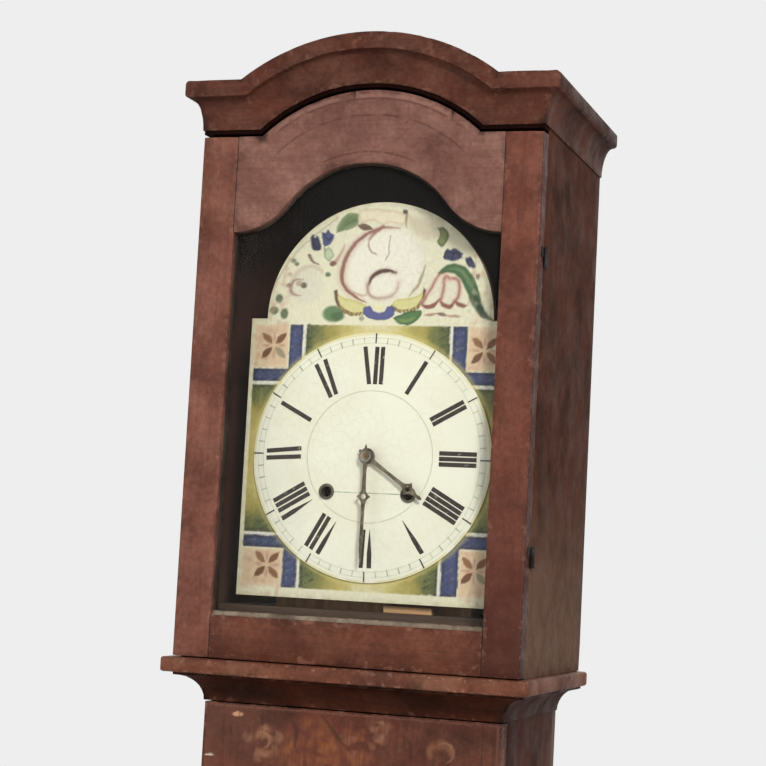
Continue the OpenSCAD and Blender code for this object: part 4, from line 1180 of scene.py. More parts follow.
@dataclass
class HoodDoor:
    """The full-width glazed door of the hood."""

    half_inner: float = 128.5
    rail_h: float = 40.0
    ogee_end: float = 393.0
    ogee_peak: float = 457.0
    crown_share: float = 0.6
    arch_z: float = 368.5
    glass_front: float = 9.2
    seam_w: float = 0.9
    seam_y: float = -0.12
    arch_top: float = 483.0
    joint: bpy.types.Material | None = None

    def radii(self) -> tuple[float, float, float]:
        """Works the opening's ogee out.

        Returns:
            The radius of its crown, that of its flares, and the angle where they meet.
        """
        drop = self.ogee_peak - self.ogee_end
        total = (self.half_inner ** 2 + drop ** 2) / (2 * drop)
        crown = total * self.crown_share
        return crown, total - crown, math.asin(self.half_inner / total)

    def ogee(self) -> list[Point]:
        """Draws the ogee of the opening from left to right.

        Returns:
            The line's points.
        """
        crown, flare, turn = self.radii()
        right = [(math.sin(a) * crown, self.ogee_peak - crown + math.cos(a) * crown)
                 for a in np.linspace(0, turn, 14)]
        right += [(self.half_inner - math.sin(a) * flare, self.ogee_end + flare - math.cos(a) * flare)
                  for a in np.linspace(turn, 0, 10)]
        return [(-x, z) for x, z in reversed(right[1:])] + right

    def rings(self, datum: Datum) -> tuple[Ring, ...]:
        """Gives the lines scored along the arch rail."""
        crown = self.radii()[0]
        arch, peak, dark = datum.z + self.arch_z * MM, datum.z + (self.ogee_peak - crown) * MM, (70, 40, 34)
        return (Ring(0, arch, 0.1485, 0.0022, 0.75, (92, 58, 50), 0.1),
                Ring(0, arch, 0.133, 0.002, 0.5, dark, 0.1),
                Ring(0, arch, 0.1515, 0.0035, 0.35, (160, 122, 110), 0.1),
                Ring(0, peak, (crown + 10) * MM, 0.0018, 0.5, dark, 0.05))

    def seam(self, name: str, datum: Datum, points: Sequence[Point], width: float) -> None:
        """Draws an open joint as a dark uneven line just in front of the door's face.

        Args:
            name: The piece's name.
            datum: The hood's origin.
            points: The line's corners, in mm.
            width: Its widest, in mm.
        """
        line = through(points, 14)
        step = np.gradient(line, axis=0)
        side = np.stack([-step[:, 1], step[:, 0]], axis=1) / np.maximum(np.hypot(*step.T), 1e-6)[:, None]
        uneven = width * (0.55 + 0.45 * np.abs(smooth_noise(line[:, 0], line[:, 1], 19, 31)))[:, None] / 2
        both = np.vstack([line + side * uneven, line - side * uneven])
        count = len(line)
        faces = [(i, i + 1, count + i + 1, count + i) for i in range(count - 1)]
        places = datum.many(both[:, 0], np.full(len(both), self.seam_y), both[:, 1])
        settle(make_piece(name, places, faces, self.joint), "hood_door_arch_rail")

    def putty(self, datum: Datum) -> None:
        """Runs the putty round the glass, in front of it: pale at the foot, dark round the rim with soiling
        and painted shade.
        """
        path = [(-self.half_inner, self.rail_h)] + self.ogee() + [(self.half_inner, self.rail_h)]
        pale = PaintedWood("putty_foot_paint", body=(128, 112, 96), haze=(160, 146, 126), dark=(84, 68, 56),
                           grain=Grain.ACROSS, wear=0.0, haze_share=0.8).make()
        # The rim putty is dark partly with soiling and partly as painted shade of the rebate.
        dark = PaintedWood("putty_rim_paint_and_shade", body=(48, 40, 34), haze=(74, 62, 52), dark=(30, 24, 20),
                           grain=Grain.ACROSS, wear=0.0, haze_share=0.5).make()
        foot = [(x, self.rail_h) for x in np.linspace(self.half_inner, -self.half_inner, 40)]
        for name, line, depth, finish in (("putty_foot", foot, 4.4, pale), ("putty_rim", path, 1.8, dark)):
            r = Repeater(name, finish)
            width = r.size("Width", depth * MM)
            seed = r.size("Seed", 4)
            ring = r.add("GeometryNodeCurvePrimitiveCircle", {"Resolution": 6, "Radius": width})
            curve = r.add("GeometryNodeMeshToCurve", {"Mesh": r.source.outputs[0]}).outputs[0]
            fine = r.add("GeometryNodeResampleCurve", {"Curve": curve, "Length": 0.004}, mode="LENGTH")
            tube = r.tube(fine.outputs[0], ring.outputs[0])
            shake = r.add("FunctionNodeRandomValue", {"Min": (-4e-4, -3e-4, -5e-4), "Max": (4e-4, 0.0, 5e-4),
                                                      "Seed": seed}, data_type="FLOAT_VECTOR")
            moved = r.add("GeometryNodeSetPosition", {"Geometry": tube, "Offset": shake.outputs[0]})
            points = [datum.at(x, self.glass_front - 1.0, z) for x, z in line]
            settle(r.build(moved.outputs[0], points, joined=True), "hood_door_bead")

    def build(self) -> None:
        """Makes the door's frame, its joints, the glass and the putty."""
        datum = hood_datum()
        self.joint = BareWood("joint_shadow", (16, 9, 7), (8, 5, 4), Grain.UPRIGHT, dust_share=0.0).make()
        left = PaintedWood("stile_left_paint", body=(125, 76, 63), haze=(138, 93, 77), dark=(95, 55, 43),
                           grain=Grain.UPRIGHT, wear=0.2).make()
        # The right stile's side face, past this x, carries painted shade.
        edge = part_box("hood_door_stile_right")[1].x - 3e-4
        right = PaintedWood("stile_right_paint", body=(109, 61, 47), haze=(120, 74, 59), dark=(85, 46, 35),
                            grain=Grain.UPRIGHT, wear=0.2, foot=(68, 34, 25), foot_from=1.62, foot_to=1.84,
                            edge=edge).make()
        arch = PaintedWood("arch_rail_paint", body=(123, 83, 72), haze=(141, 102, 89), dark=(94, 60, 51),
                           grain=Grain.ACROSS, wear=0.15, rings=self.rings(datum), haze_share=0.7).make()
        rail = PaintedWood("bottom_rail_paint", body=(101, 55, 39), haze=(114, 70, 52), dark=(73, 38, 27),
                           grain=Grain.ACROSS, wear=0.25).make()
        bead = PaintedWood("bead_paint", body=(44, 28, 24), haze=(62, 44, 38), dark=(26, 17, 15),
                           grain=Grain.UPRIGHT, wear=0.1).make()
        fine = Softening(0.7, (10, 10, 16), 0.5)
        for node, finish in (("hood_door_stile_left", left), ("hood_door_stile_right", right),
                             ("hood_door_arch_rail", arch), ("hood_door_bottom_rail", rail),
                             ("hood_door_bead", bead)):
            Board(node, finish, fine).make()
        dress("hood_door_glass", OldGlass("old_glass").make())
        half, end, foot = self.half_inner, self.ogee_end, self.rail_h
        for name, x, heights, share in (("seam_left", -half, (end, 430, self.arch_top), 1.0),
                                        ("seam_right", half, (end, 440, self.arch_top), 0.55),
                                        ("seam_foot_left", -half, (1.6, 20, foot), 0.7),
                                        ("seam_foot_right", half, (1.6, 20, foot), 0.5)):
            self.seam(name, datum, [(x, z) for z in heights], self.seam_w * share)
        self.putty(datum)
        log.info("hood door: frame, glass, joints and putty")


# The dial


CREAM: Rgb = (242, 238, 204)
BROWN: Rgb = (150, 102, 90)
LEAF_GREEN: Rgb = (96, 126, 84)
DEEP_GREEN: Rgb = (40, 62, 42)
BLUE: Rgb = (72, 78, 126)
DARK_BLUE: Rgb = (44, 46, 76)
YELLOW: Rgb = (226, 220, 150)


@dataclass
class DialBoard:
    """The painted board: flowers in the arch, flowers and blue bands in the corners."""

    half: float = 125.5
    down: float = 132.0
    up: float = 127.0
    arch_r: float = 110.0
    disc_r: float = 115.0
    face: float = -0.15

    def points(self) -> tuple[np.ndarray, np.ndarray, list]:
        """Lays out the lower panel and the arch as grids of points.

        Returns:
            The places across and up, and the faces.
        """
        xs = np.linspace(-self.half, self.half, 216)
        zs = np.linspace(-self.down, self.up, 223)
        x, z = (a.ravel() for a in np.meshgrid(xs, zs))
        hidden = (np.hypot(x, z) < self.disc_r - 4).reshape(len(zs), len(xs))
        faces = grid_faces(len(zs), len(xs), lambda i, j: not hidden[j:j + 2, i:i + 2].all())
        start = len(x)
        rings, spokes = 100, 250
        radius = self.arch_r * np.arange(1, rings + 1) / rings
        angle = np.linspace(0, math.pi, spokes)
        r, a = (v.ravel() for v in np.meshgrid(radius, angle, indexing="ij"))
        arch_x, arch_z = r * np.cos(a), self.up + r * np.sin(a)
        faces += [tuple(start + corner for corner in face) for face in grid_faces(rings, spokes)]
        centre = start + rings * spokes
        faces += [(centre, start + i + 1, start + i) for i in range(spokes - 1)]
        return np.concatenate([x, arch_x, [0]]), np.concatenate([z, arch_z, [self.up]]), faces

    def rose(self, p: Painting) -> None:
        """Paints the big rose, whose petals are drawn by a few worn contours."""
        p.dab(1.5, 179, 45, 40, (250, 246, 226), 0.95, 0.25)
        p.wash([(-25, 230), (-11.5, 231), (5.4, 230), (19, 226), (23.7, 218), (16.3, 215.5), (6, 218),
                (-0.5, 215.6), (-10.8, 219.7), (-24, 218)], (246, 236, 202), 0.95, 1.4, (224, 204, 168), 3)
        p.wash([(22, 226), (48, 216), (55, 205), (44, 202), (28, 211)], (206, 190, 160), 0.6, 6)
        outer = [(16.4, 213), (1.3, 213), (-12, 209), (-25, 200), (-34, 187), (-38, 173), (-37, 161),
                 (-30, 152.5), (-20, 146), (-13, 143)]
        p.stroke(outer, 9, (216, 186, 164), 0.55, 5, Taper.LEAF)
        p.stroke(outer, 3.6, BROWN, 0.95, 1.1, Taper.LEAF)
        p.stroke([(-0.4, 214), (-10, 207.5), (-13.7, 198.6), (-11, 191), (-5.7, 188)], 1.6,
                 (168, 140, 118), 0.75, 1)
        p.stroke([(-0.4, 214), (-8, 208.5), (-12, 202)], 3.2, BROWN, 0.8, 1.4, Taper.TAIL)
        p.stroke([(7.1, 206), (6.5, 195), (6.5, 189), (3.9, 183)], 0.8, (122, 108, 88), 0.7, 0.6)
        ring = [(14.5, 171), (5, 173), (-4.7, 170), (-10.3, 165), (-12.4, 157), (-9.5, 150), (-1.7, 147),
                (8.3, 148), (15.5, 153.6), (17.6, 161.6)]
        p.stroke(ring, 6, (222, 196, 174), 0.5, 4)
        p.stroke(ring, 2.6, (146, 122, 106), 0.9, 1, fade=0.8)
        p.stroke([(14.5, 171), (7, 173), (-3, 171), (-9, 166), (-11.5, 160)], 4.4, (92, 62, 54),
                 0.95, 1.1, Taper.LEAF)
        p.stroke([(28, 149), (36, 158.5), (39.7, 168), (42.9, 179)], 3, (160, 138, 112), 0.7, 1.6, Taper.LEAF)
        p.stroke([(-34, 160), (-26, 152), (-14, 150), (-12, 158)], 2.2, (196, 158, 138), 0.6, 1.4, Taper.LEAF)
        p.wash([(-25, 215.7), (-18, 217), (-10.4, 212.4), (-16, 210.5), (-22, 212)], (104, 78, 60), 0.9, 1)
        p.stroke([(22.4, 226), (21.6, 219), (23, 213)], 2.4, (140, 112, 90), 0.7, 1.2, Taper.TAIL)
        p.dab(20.6, 228, 3, 2.6, (70, 60, 52), 0.85)
        p.stroke([(-36.7, 198), (-39.7, 190.5), (-44.4, 182.4), (-48.5, 179)], 4.4, (188, 138, 122), 0.7, 1.8,
                 Taper.HEAD)
        p.dab(-47.5, 179.5, 4.2, 2.8, (116, 78, 66), 0.85)

    def small_flowers(self, p: Painting) -> None:
        """Paints the small rose, the blue flowers and the little leaves of the arch."""
        p.dab(-73, 158, 20, 19, (232, 228, 204), 0.7, 0.3)
        p.stroke([(-58, 172), (-68, 177), (-80, 173), (-88, 162), (-88, 150)], 4, (206, 186, 162), 0.55, 2.6)
        p.stroke([(-76, 164), (-85, 163.5), (-89, 156), (-85, 150), (-77.6, 149)], 2.8, (150, 116, 100),
                 0.7, 1.4, Taper.LEAF)
        p.dab(-75.6, 158.7, 3.6, 3.2, (92, 88, 66), 0.85)
        p.dab(-80, 160.5, 4.5, 3, (168, 140, 118), 0.6)
        for x, z, a, b in ((-99.4, 146, 4.4, 5), (-103.9, 134.8, 5.4, 4.4), (-93.5, 131.7, 4.4, 6)):
            p.dab(x, z, a, b, (88, 104, 72), 0.9, 0.3)
            p.stroke([(x - 2, z + 2), (x + 2, z - 2)], 1.4, (132, 146, 104), 0.5, 1)
        p.wash([(-46, 208), (-44.7, 216.6), (-35, 227), (-22, 224), (-27.5, 214), (-41, 210)],
               (104, 128, 86), 0.95, 1.2, (140, 156, 110), 5)
        p.stroke([(-44, 210), (-34, 217), (-24, 222)], 1.4, (78, 100, 66), 0.6, 1)
        near = [(-71.5, 205), (-69, 207), (-67, 204), (-64.6, 206), (-60.7, 197), (-61.2, 192), (-69, 193)]
        far = [(-60.6, 210), (-57.6, 208), (-54.7, 212), (-52, 208.5), (-48.3, 206), (-50.5, 199), (-57, 196),
               (-60, 203.6)]
        for dark, flower in ((DARK_BLUE, near), (BLUE, far)):
            p.wash(flower, dark, 0.95, 0.9, shaded(dark, 0.8), 2)
        p.stroke([(-57, 195), (-56, 189)], 1.6, (104, 110, 84), 0.7, 1)
        p.wash([(-52.8, 195.4), (-47.3, 188), (-52, 181.6), (-57.5, 188)], (196, 208, 172), 0.8, 1,
               (112, 132, 92), 1.8)
        p.stroke([(-72, 187), (-68, 181.5), (-61, 178)], 3, (110, 78, 68), 0.85, 1, Taper.TAIL)
        for x, z, colour in ((-52, 169, (76, 94, 62)), (-90, 169, (206, 176, 156)),
                             (-87.4, 182, (110, 122, 92)), (-83.7, 179, (112, 100, 82)),
                             (-91, 158.6, (128, 96, 82))):
            p.dab(x, z, 3, 2.6, colour, 0.75)
        for flower in ([(60.3, 184), (60, 189), (62.3, 193), (66, 192), (68.8, 193.7), (73, 192), (78, 189),
                        (76, 187), (77.5, 185), (69.4, 181.7)],
                       [(80, 184), (84.8, 185.7), (90, 180), (89.4, 175.4), (82.7, 177.8)]):
            p.wash(flower, (56, 58, 92), 0.95, 0.9, DARK_BLUE, 2)
        p.dab(93, 167.5, 2.6, 2.8, (110, 82, 68), 0.8)
        p.wash([(52.2, 213), (58.8, 213), (63.8, 205), (58, 195), (52.9, 200), (55, 206.5)],
               (134, 144, 84), 0.95, 1, (66, 88, 50), 2.6)
        for line in ([(60, 186), (63, 192), (70, 188)], [(66, 184), (72, 190), (77, 186)],
                     [(82, 180), (86, 184), (89, 178)], [(-71, 204), (-67, 196), (-62, 194)],
                     [(-59, 208), (-54, 202), (-50, 204)]):
            p.stroke(line, 1.3, (28, 30, 52), 0.7, 0.8)
        for line in ([(-42, 212), (-34, 214), (-28, 218)], [(-50, 134), (-42, 130), (-36, 132)]):
            p.stroke(line, 4, (146, 156, 112), 0.45, 2.4, Taper.LEAF)

    def foot_flowers(self, p: Painting) -> None:
        """Paints the row of half flowers and leaves at the foot of the arch."""
        p.dab(-44.8, 132, 12, 8.5, LEAF_GREEN, 0.92, 0.25)
        p.dab(-40, 130, 8, 5, (58, 88, 54), 0.5)
        for flower in ([(-43.4, 151.6), (-40, 140), (-31, 132), (-16, 132.4), (-12, 139), (-23.5, 145),
                        (-34, 147)],
                       [(11.3, 139), (20.7, 135), (32.3, 136), (41, 142.6), (42.9, 153.7), (34.9, 149),
                        (25, 147), (15, 145.5)]):
            p.wash(flower, YELLOW, 0.95, 1, (206, 196, 118), 2.5)
        for line in ([(-43.4, 152), (-42, 142), (-36, 135), (-28, 131), (-16, 131)],
                     [(12, 138), (21, 134), (32.3, 135), (41, 142), (43.4, 154)]):
            fine = through(line, 7)
            for k, (x, z) in enumerate(fine):
                shade = (96, 72, 44) if k % 2 else (138, 112, 66)
                p.stroke([(x, z), (x * 0.97, z + 2.6)], 1.1, shade, 0.85, 0.6)
        p.stroke([(-43.4, 153), (-42, 144), (-38, 138)], 3, (100, 68, 50), 0.9, 1, Taper.TAIL)
        p.stroke([(43.4, 155), (42.4, 147), (39, 142)], 3, (100, 68, 50), 0.9, 1, Taper.TAIL)
        p.wash([(-15.5, 138), (-15.2, 132.4), (-7.3, 127.6), (2.8, 127), (11, 128.4), (15, 132.7), (13.8, 139),
                (7.9, 139), (5.7, 135), (-0.1, 133.4), (-6, 135.7), (-8.9, 139.7)],
               (88, 92, 146), 0.95, 0.9, BLUE, 2)
        p.dab(-16.6, 128, 3, 2.8, (150, 152, 132), 0.8)
        p.dab(0.5, 138, 5, 2.6, (240, 236, 178), 0.9)
        p.wash([(14.4, 128.7), (21.3, 123), (31.3, 123), (40, 130), (40.5, 136), (30, 135), (21, 132)],
               (84, 124, 70), 0.95, 1, (60, 94, 54), 3)
        p.stroke([(18, 128), (27, 126), (36, 130)], 3.4, (136, 160, 88), 0.7, 1.8, Taper.LEAF)

    def tulip(self, p: Painting) -> None:
        """Paints the tulip drawn in outline and the long leaf that hangs over it."""
        pink = (178, 128, 112)
        p.dab(63, 155, 20, 16, (240, 232, 210), 0.7)
        for line, width in (([(65, 173), (55.4, 168), (49.4, 157), (43.3, 146), (41, 142)], 1.8),
                            ([(61.3, 165), (61, 155.4), (59, 146)], 2),
                            ([(66, 166), (73.6, 165), (76.4, 157), (75.2, 149), (71.4, 143.6)], 2.2),
                            ([(61.3, 165), (63, 168), (66, 166)], 1.6)):
            p.stroke(line, width + 3.2, (224, 188, 164), 0.6, 2.2)
            p.stroke(line, width * 1.15, pink, 0.9, 1)
        for line in ([(41, 142.6), (44.6, 139.6), (48.6, 139.4), (54, 142), (58, 147.5)],
                     [(58, 146), (60.8, 142), (66.7, 139.6), (70, 141), (72.2, 144.4)],
                     [(72.2, 145), (78, 141.3), (84.6, 140.5)]):
            p.stroke(line, 4, (142, 88, 76), 0.95, 1.1, Taper.LEAF)
        p.stroke([(73.3, 170.6), (82.7, 162), (86.6, 149), (85.4, 141)], 1.4, (196, 166, 142), 0.6, 1.2)
        for line, colour in (([(44, 131.5), (55.5, 133)], (168, 122, 102)),
                             ([(55, 133.2), (66, 131.8)], (104, 74, 62)),
                             ([(66, 131.4), (79, 131)], (176, 136, 114))):
            p.stroke(line, 3, colour, 0.75, 1.2, Taper.LEAF)
        leaf = [(56, 170.5), (63.3, 174.5), (73, 174.6), (81.6, 168), (87.9, 157), (92.6, 144.6),
                (99.6, 133.6), (109.5, 127.5)]
        p.stroke(leaf, 11.5, (62, 98, 58), 0.95, 1.2, Taper.LEAF)
        p.stroke(leaf[1:6], 4, (126, 156, 108), 0.7, 2.4, Taper.LEAF)
        p.stroke(leaf[4:], 6.5, DEEP_GREEN, 0.9, 1.4, Taper.LEAF)

    def corner(self, p: Painting, sx: int, sz: int, band: tuple[float, ...], flower: Point) -> None:
        """Paints one corner: a pink square with a flower, blue bands and green and gold fields.

        Args:
            p: The painting.
            sx: Which side, -1 for left.
            sz: Which end, -1 for the foot.
            band: The upright blue band's near and far sides and the level one's, in mm.
            flower: The middle of the flower.
        """
        v0, v1, h0, h1 = band
        end = self.up - 5.5 if sz > 0 else self.down - 9
        across, up = p.x * sx, p.z * sz
        wander = 5 * smooth_noise(p.x, p.z, 16, 61) + 2.5 * smooth_noise(p.x, p.z, 5, 63)

        def spread(along: np.ndarray, length: float, other: np.ndarray, reach: float, gold: Rgb) -> None:
            """Fills half of a field, green at its far end and gold towards the middle."""
            tints = ((84, 94, 52), (112, 116, 62), (166, 154, 78), (204, 190, 112), gold)
            deep = length - along + wander
            stops = (2, 12, 24, 42, 62)
            tint = np.stack([np.interp(deep, stops, channel) for channel in zip(*tints)], axis=1)
            within = np.minimum.reduce([along + 0.6, length - along, other - 60, reach - other])
            p.lay(np.clip(within / 0.9 + 0.5, 0, 1) * 0.97, tint)
            dashes = 0.55 + 0.45 * np.cos(other * 1.5)
            row = np.clip(1 - np.abs(length - along - 1.5) / 2.2, 0, 1) * dashes * 0.95
            p.lay(np.where(within > -0.5, row, 0), (58, 56, 30))

        def block(x0: float, x1: float, z0: float, z1: float, colour: Rgb, strength: float = 0.95,
                  rim: Rgb | None = None) -> None:
            """Fills an upright block of this corner."""
            corners = [(sx * x, sz * z) for x, z in ((x0, z0), (x1, z0), (x1, z1), (x0, z1))]
            p.wash(corners, colour, strength, 0.9, rim, 4, False)

        block(v1 + 1, 122, h1 + 1, end, (230, 198, 158), 0.9, (238, 216, 174))
        square = np.clip(np.minimum(across - v1 - 1, up - h1 - 1) / 2, 0, 1)
        p.lay(square * np.clip(smooth_noise(p.x, p.z, 9, 71), 0, 1) * 0.5, (238, 226, 194))
        p.lay(square * np.clip(-smooth_noise(p.x, p.z, 12, 73), 0, 1) * 0.45, (208, 158, 132))
        spread(across, v0 - 3, up, end, (228, 220, 172))
        spread(up, h0 - 3, across, 121.5, (196, 178, 96))
        block(v0 - 3, v0, 60, end, (240, 238, 220))
        block(80, 121.5, h0 - 3, h0, (240, 238, 220))
        block(v0, v1, 60, end, (66, 74, 122), 0.97, (38, 42, 78))
        block(70, 121.5, h0, h1, (60, 70, 114), 0.97, (32, 36, 66))
        last = (160, 148, 118) if sx * sz < 0 else (132, 88, 54)
        for k, tint in enumerate(((118, 74, 40), (142, 98, 62), (108, 66, 36), last)):
            for turn, near, far, width, shade, strength in ((45, 2.6, 16.5, 6.2, tint, 0.92),
                                                            (0, 3, 12.5, 2.6, (190, 140, 114), 0.55)):
                a = math.radians(turn + 90 * k)
                line = [(flower[0] + math.cos(a) * d, flower[1] + math.sin(a) * d)
                        for d in (near, (near + far) / 2, far)]
                p.stroke(line, width, shade, strength, 0.9, Taper.LEAF)

    def specks(self, p: Painting) -> None:
        """Stipples the green fields, soils the rim of the board and lightens the paint beside the disc."""
        green = (p.rgb[:, 1] > p.rgb[:, 0]) & (p.rgb[:, 1] < 118) & (p.cover > 0.6) & (p.z < 126)
        stipple = smooth_noise(p.x, p.z, 3.1, 41) + smooth_noise(p.x, p.z, 6.5, 43)
        p.lay(np.where(green, np.clip(stipple - 0.35, 0, 1) * 0.7, 0), (44, 58, 34))
        p.lay(np.where(green, np.clip(-stipple - 0.5, 0, 1) * 0.5, 0), (148, 152, 92))
        shoulder = np.where(np.abs(p.x) > self.arch_r, self.up - p.z, 99)
        below = np.minimum.reduce([self.half - np.abs(p.x), p.z + self.down, shoulder])
        gap = np.where(p.z > self.up, self.arch_r - np.hypot(p.x, p.z - self.up), below)
        soil = np.clip(1 - gap / 5, 0, 1) * (0.35 + 0.3 * smooth_noise(p.x, p.z, 14, 51))
        p.lay(soil * 0.6, (176, 160, 112))
        beside = np.clip(1 - np.abs(np.hypot(p.x, p.z) - self.disc_r - 1) / 4, 0, 1)
        p.lay(beside * 0.6, (226, 212, 132))

    def build(self, datum: Datum) -> None:
        """Makes the painted face of the board and finishes the board behind it."""
        x, z, faces = self.points()
        finish = DialPaint("dial_board_paint", CREAM, (208, 198, 150)).make()
        depth = np.full(len(x), self.face)
        piece = make_piece("dial_painting", datum.many(x, depth, z), faces, finish)
        p = Painting(x, z, 3)
        p.lay(np.full(len(x), 1.0), CREAM)
        p.dab(0, 190, 95, 60, (238, 234, 206), 0.6, 0.9)
        p.stroke([(-112.5, 138), (-105, 159), (-81, 194), (-45, 223)], 1.4, (176, 172, 134), 0.6, 1)
        p.stroke([(69, 222), (90, 202), (104, 179), (108, 154)], 1.4, (170, 160, 118), 0.6, 1)
        self.small_flowers(p)
        self.rose(p)
        self.foot_flowers(p)
        self.tulip(p)
        self.corner(p, -1, 1, (73.5, 86.5, 68, 80), (-102, 101.7))
        self.corner(p, 1, 1, (72.6, 86, 68, 80), (103, 100))
        self.corner(p, -1, -1, (67, 81, 76, 87), (-96.8, -103))
        self.corner(p, 1, -1, (72, 88, 68, 80), (103, -99))
        self.specks(p)
        p.keep(piece.data)
        settle(piece, "dial_board")
        board = DialPaint("dial_board_edge", (206, 192, 144), (150, 130, 90), painted=False)
        dress("dial_board", board.make())
        log.info("dial board: %d painted points", len(x))


@dataclass
class ChapterDisc:
    """The white domed disc with its numerals, minute track and winding holes."""

    radius: float = 115.0
    rim: float = 3.0
    dome: float = 4.0
    foot: float = 66.6
    head: float = 101.5
    bar: float = 4.0
    lift: float = 0.18

    def depth(self, r: float) -> float:
        """Gives the depth of the disc's face at a radius, in mm."""
        return -(self.rim + self.dome * (1 - r * r / self.radius ** 2))

    def laid(self, datum: Datum, turn: float, off: float, r0: float, r1: float, width: float,
             slant: float = 0.0) -> tuple[Vector, tuple, tuple]:
        """Places one bar of a numeral or one tick on the dome.

        Args:
            datum: The dial's origin.
            turn: The clockwise angle of the hour, in degrees.
            off: How far the bar stands to the clockwise side, in mm.
            r0: The radius of its inner end.
            r1: The radius of its outer end.
            width: Its width.
            slant: How far it leans clockwise at its outer end, in mm.

        Returns:
            Its middle, its turn and its size.
        """
        a = math.radians(turn)
        middle = (r0 + r1) / 2
        x = math.sin(a) * middle + math.cos(a) * off
        z = math.cos(a) * middle - math.sin(a) * off
        lean = a + math.atan2(slant, r1 - r0)
        tilt = 2 * self.dome * middle / self.radius ** 2
        where = datum.at(x, self.depth(math.hypot(x, z)) - self.lift, z)
        out = Matrix.Rotation(lean, 3, "Y") @ Matrix.Rotation(-tilt, 3, "X")
        return where, tuple(out.to_euler()), (width * MM, 1.0, math.hypot(r1 - r0, slant) * MM)

    def strokes(self) -> list[tuple[float, float, float, float]]:
        """Lists the numerals' bars as hour, place to the side, width and slant."""
        step = self.bar + 1.0
        bars_of = {1: [(-1.1, 0)], 2: [(-2.3, 0), (2.7, 0)],
                   3: [(k * step, 0) for k in (-1.05, -0.05, 0.95)],
                   4: [(k * step, 0) for k in (-1.5, -0.5, 0.5, 1.5)], 6: [(2.4, 1.5)],
                   7: [(2.3, 0), (7.9, 0)], 8: [(-2.8, 0), (2.5, 0), (7.8, 0)], 9: [(-3, -2.2), (4, -3.3)],
                   10: [(-2.5, -1.5)], 11: [(-7.8, 0.6), (0, 4.5)], 12: [(-6.9, -6.1), (1.8, 0), (7.4, 0)]}
        return [(hour, off, self.bar, slant) for hour, row in bars_of.items() for off, slant in row]

    def wedges(self, datum: Datum, finish: bpy.types.Material) -> bpy.types.Object:
        """Makes the tapering strokes of the fives, which run to a point at the foot."""
        points, faces = [], []
        for hour, head_off, foot_off in ((5, -4.4, -1.8), (6, -4.7, -4.2), (7, -5.5, -5.4), (8, -10.8, -9.2)):
            a = math.radians(hour * 30)
            steps = 10
            start = len(points)
            for k in range(steps + 1):
                t = k / steps
                r = self.foot + (self.head - self.foot) * t
                off = foot_off + (head_off - foot_off) * t
                half = 0.15 + (self.bar * 0.55 - 0.15) * min(1, t * 1.6)
                for s in (off - half, off + half):
                    x, z = math.sin(a) * r + math.cos(a) * s, math.cos(a) * r - math.sin(a) * s
                    points.append(datum.at(x, self.depth(r) - self.lift, z))
                if k:
                    i = start + 2 * k
                    faces.append((i - 2, i - 1, i + 1, i))
        return make_piece("numeral_wedges", points, faces, finish)

    def build(self, datum: Datum) -> None:
        """Makes the disc's finish, its numerals, track and grommets."""
        tint, pale, edge = (200, 200, 176), (206, 210, 190), (236, 228, 168)
        rings = tuple(Ring(datum.x, datum.z, *line) for line in (
            (0.0606, 0.0012, 0.6, tint), (0.105, 0.0010, 0.5, pale), (0.110, 0.0010, 0.45, pale),
            (0.1142, 0.0026, 0.8, edge)))
        white = DialPaint("disc_paint", (255, 254, 230), (242, 239, 204), 0.36, 0.06, rings, False)
        dress("chapter_disc", white.make())
        ink = InkPaint("numeral_paint", (44, 36, 30), (232, 229, 204), 0.55).make()
        faint = InkPaint("track_paint", (166, 172, 150), (214, 216, 196), 0.3).make()
        rows = [self.laid(datum, hour * 30, off, self.foot, self.head, width, slant)
                for hour, off, width, slant in self.strokes()]
        rows += [self.laid(datum, hour * 30, 0, 104.7, 114.2, 1.1) for hour in range(12)]
        places, turns, sizes = (list(column) for column in zip(*rows))
        settle(bars("numeral_bars", ink, places, turns, sizes, 0.00006), "chapter_disc")
        settle(self.wedges(datum, ink), "chapter_disc")
        rows = [self.laid(datum, minute * 6, 0, 104.4, 110.4, 1.0) for minute in range(60) if minute % 5]
        rows += [self.laid(datum, 180, x, 32.9, 33.8, 1.1) for x in np.arange(-31, 32, 1.0)]
        places, turns, sizes = (list(column) for column in zip(*rows))
        settle(bars("minute_track", faint, places, turns, sizes, 0.00005), "chapter_disc")
        dress("winding_grommets", Metal("grommet_pewter", (126, 122, 104), (84, 80, 66), 0.5, 0.6).make())
        log.info("chapter disc: numerals and track")


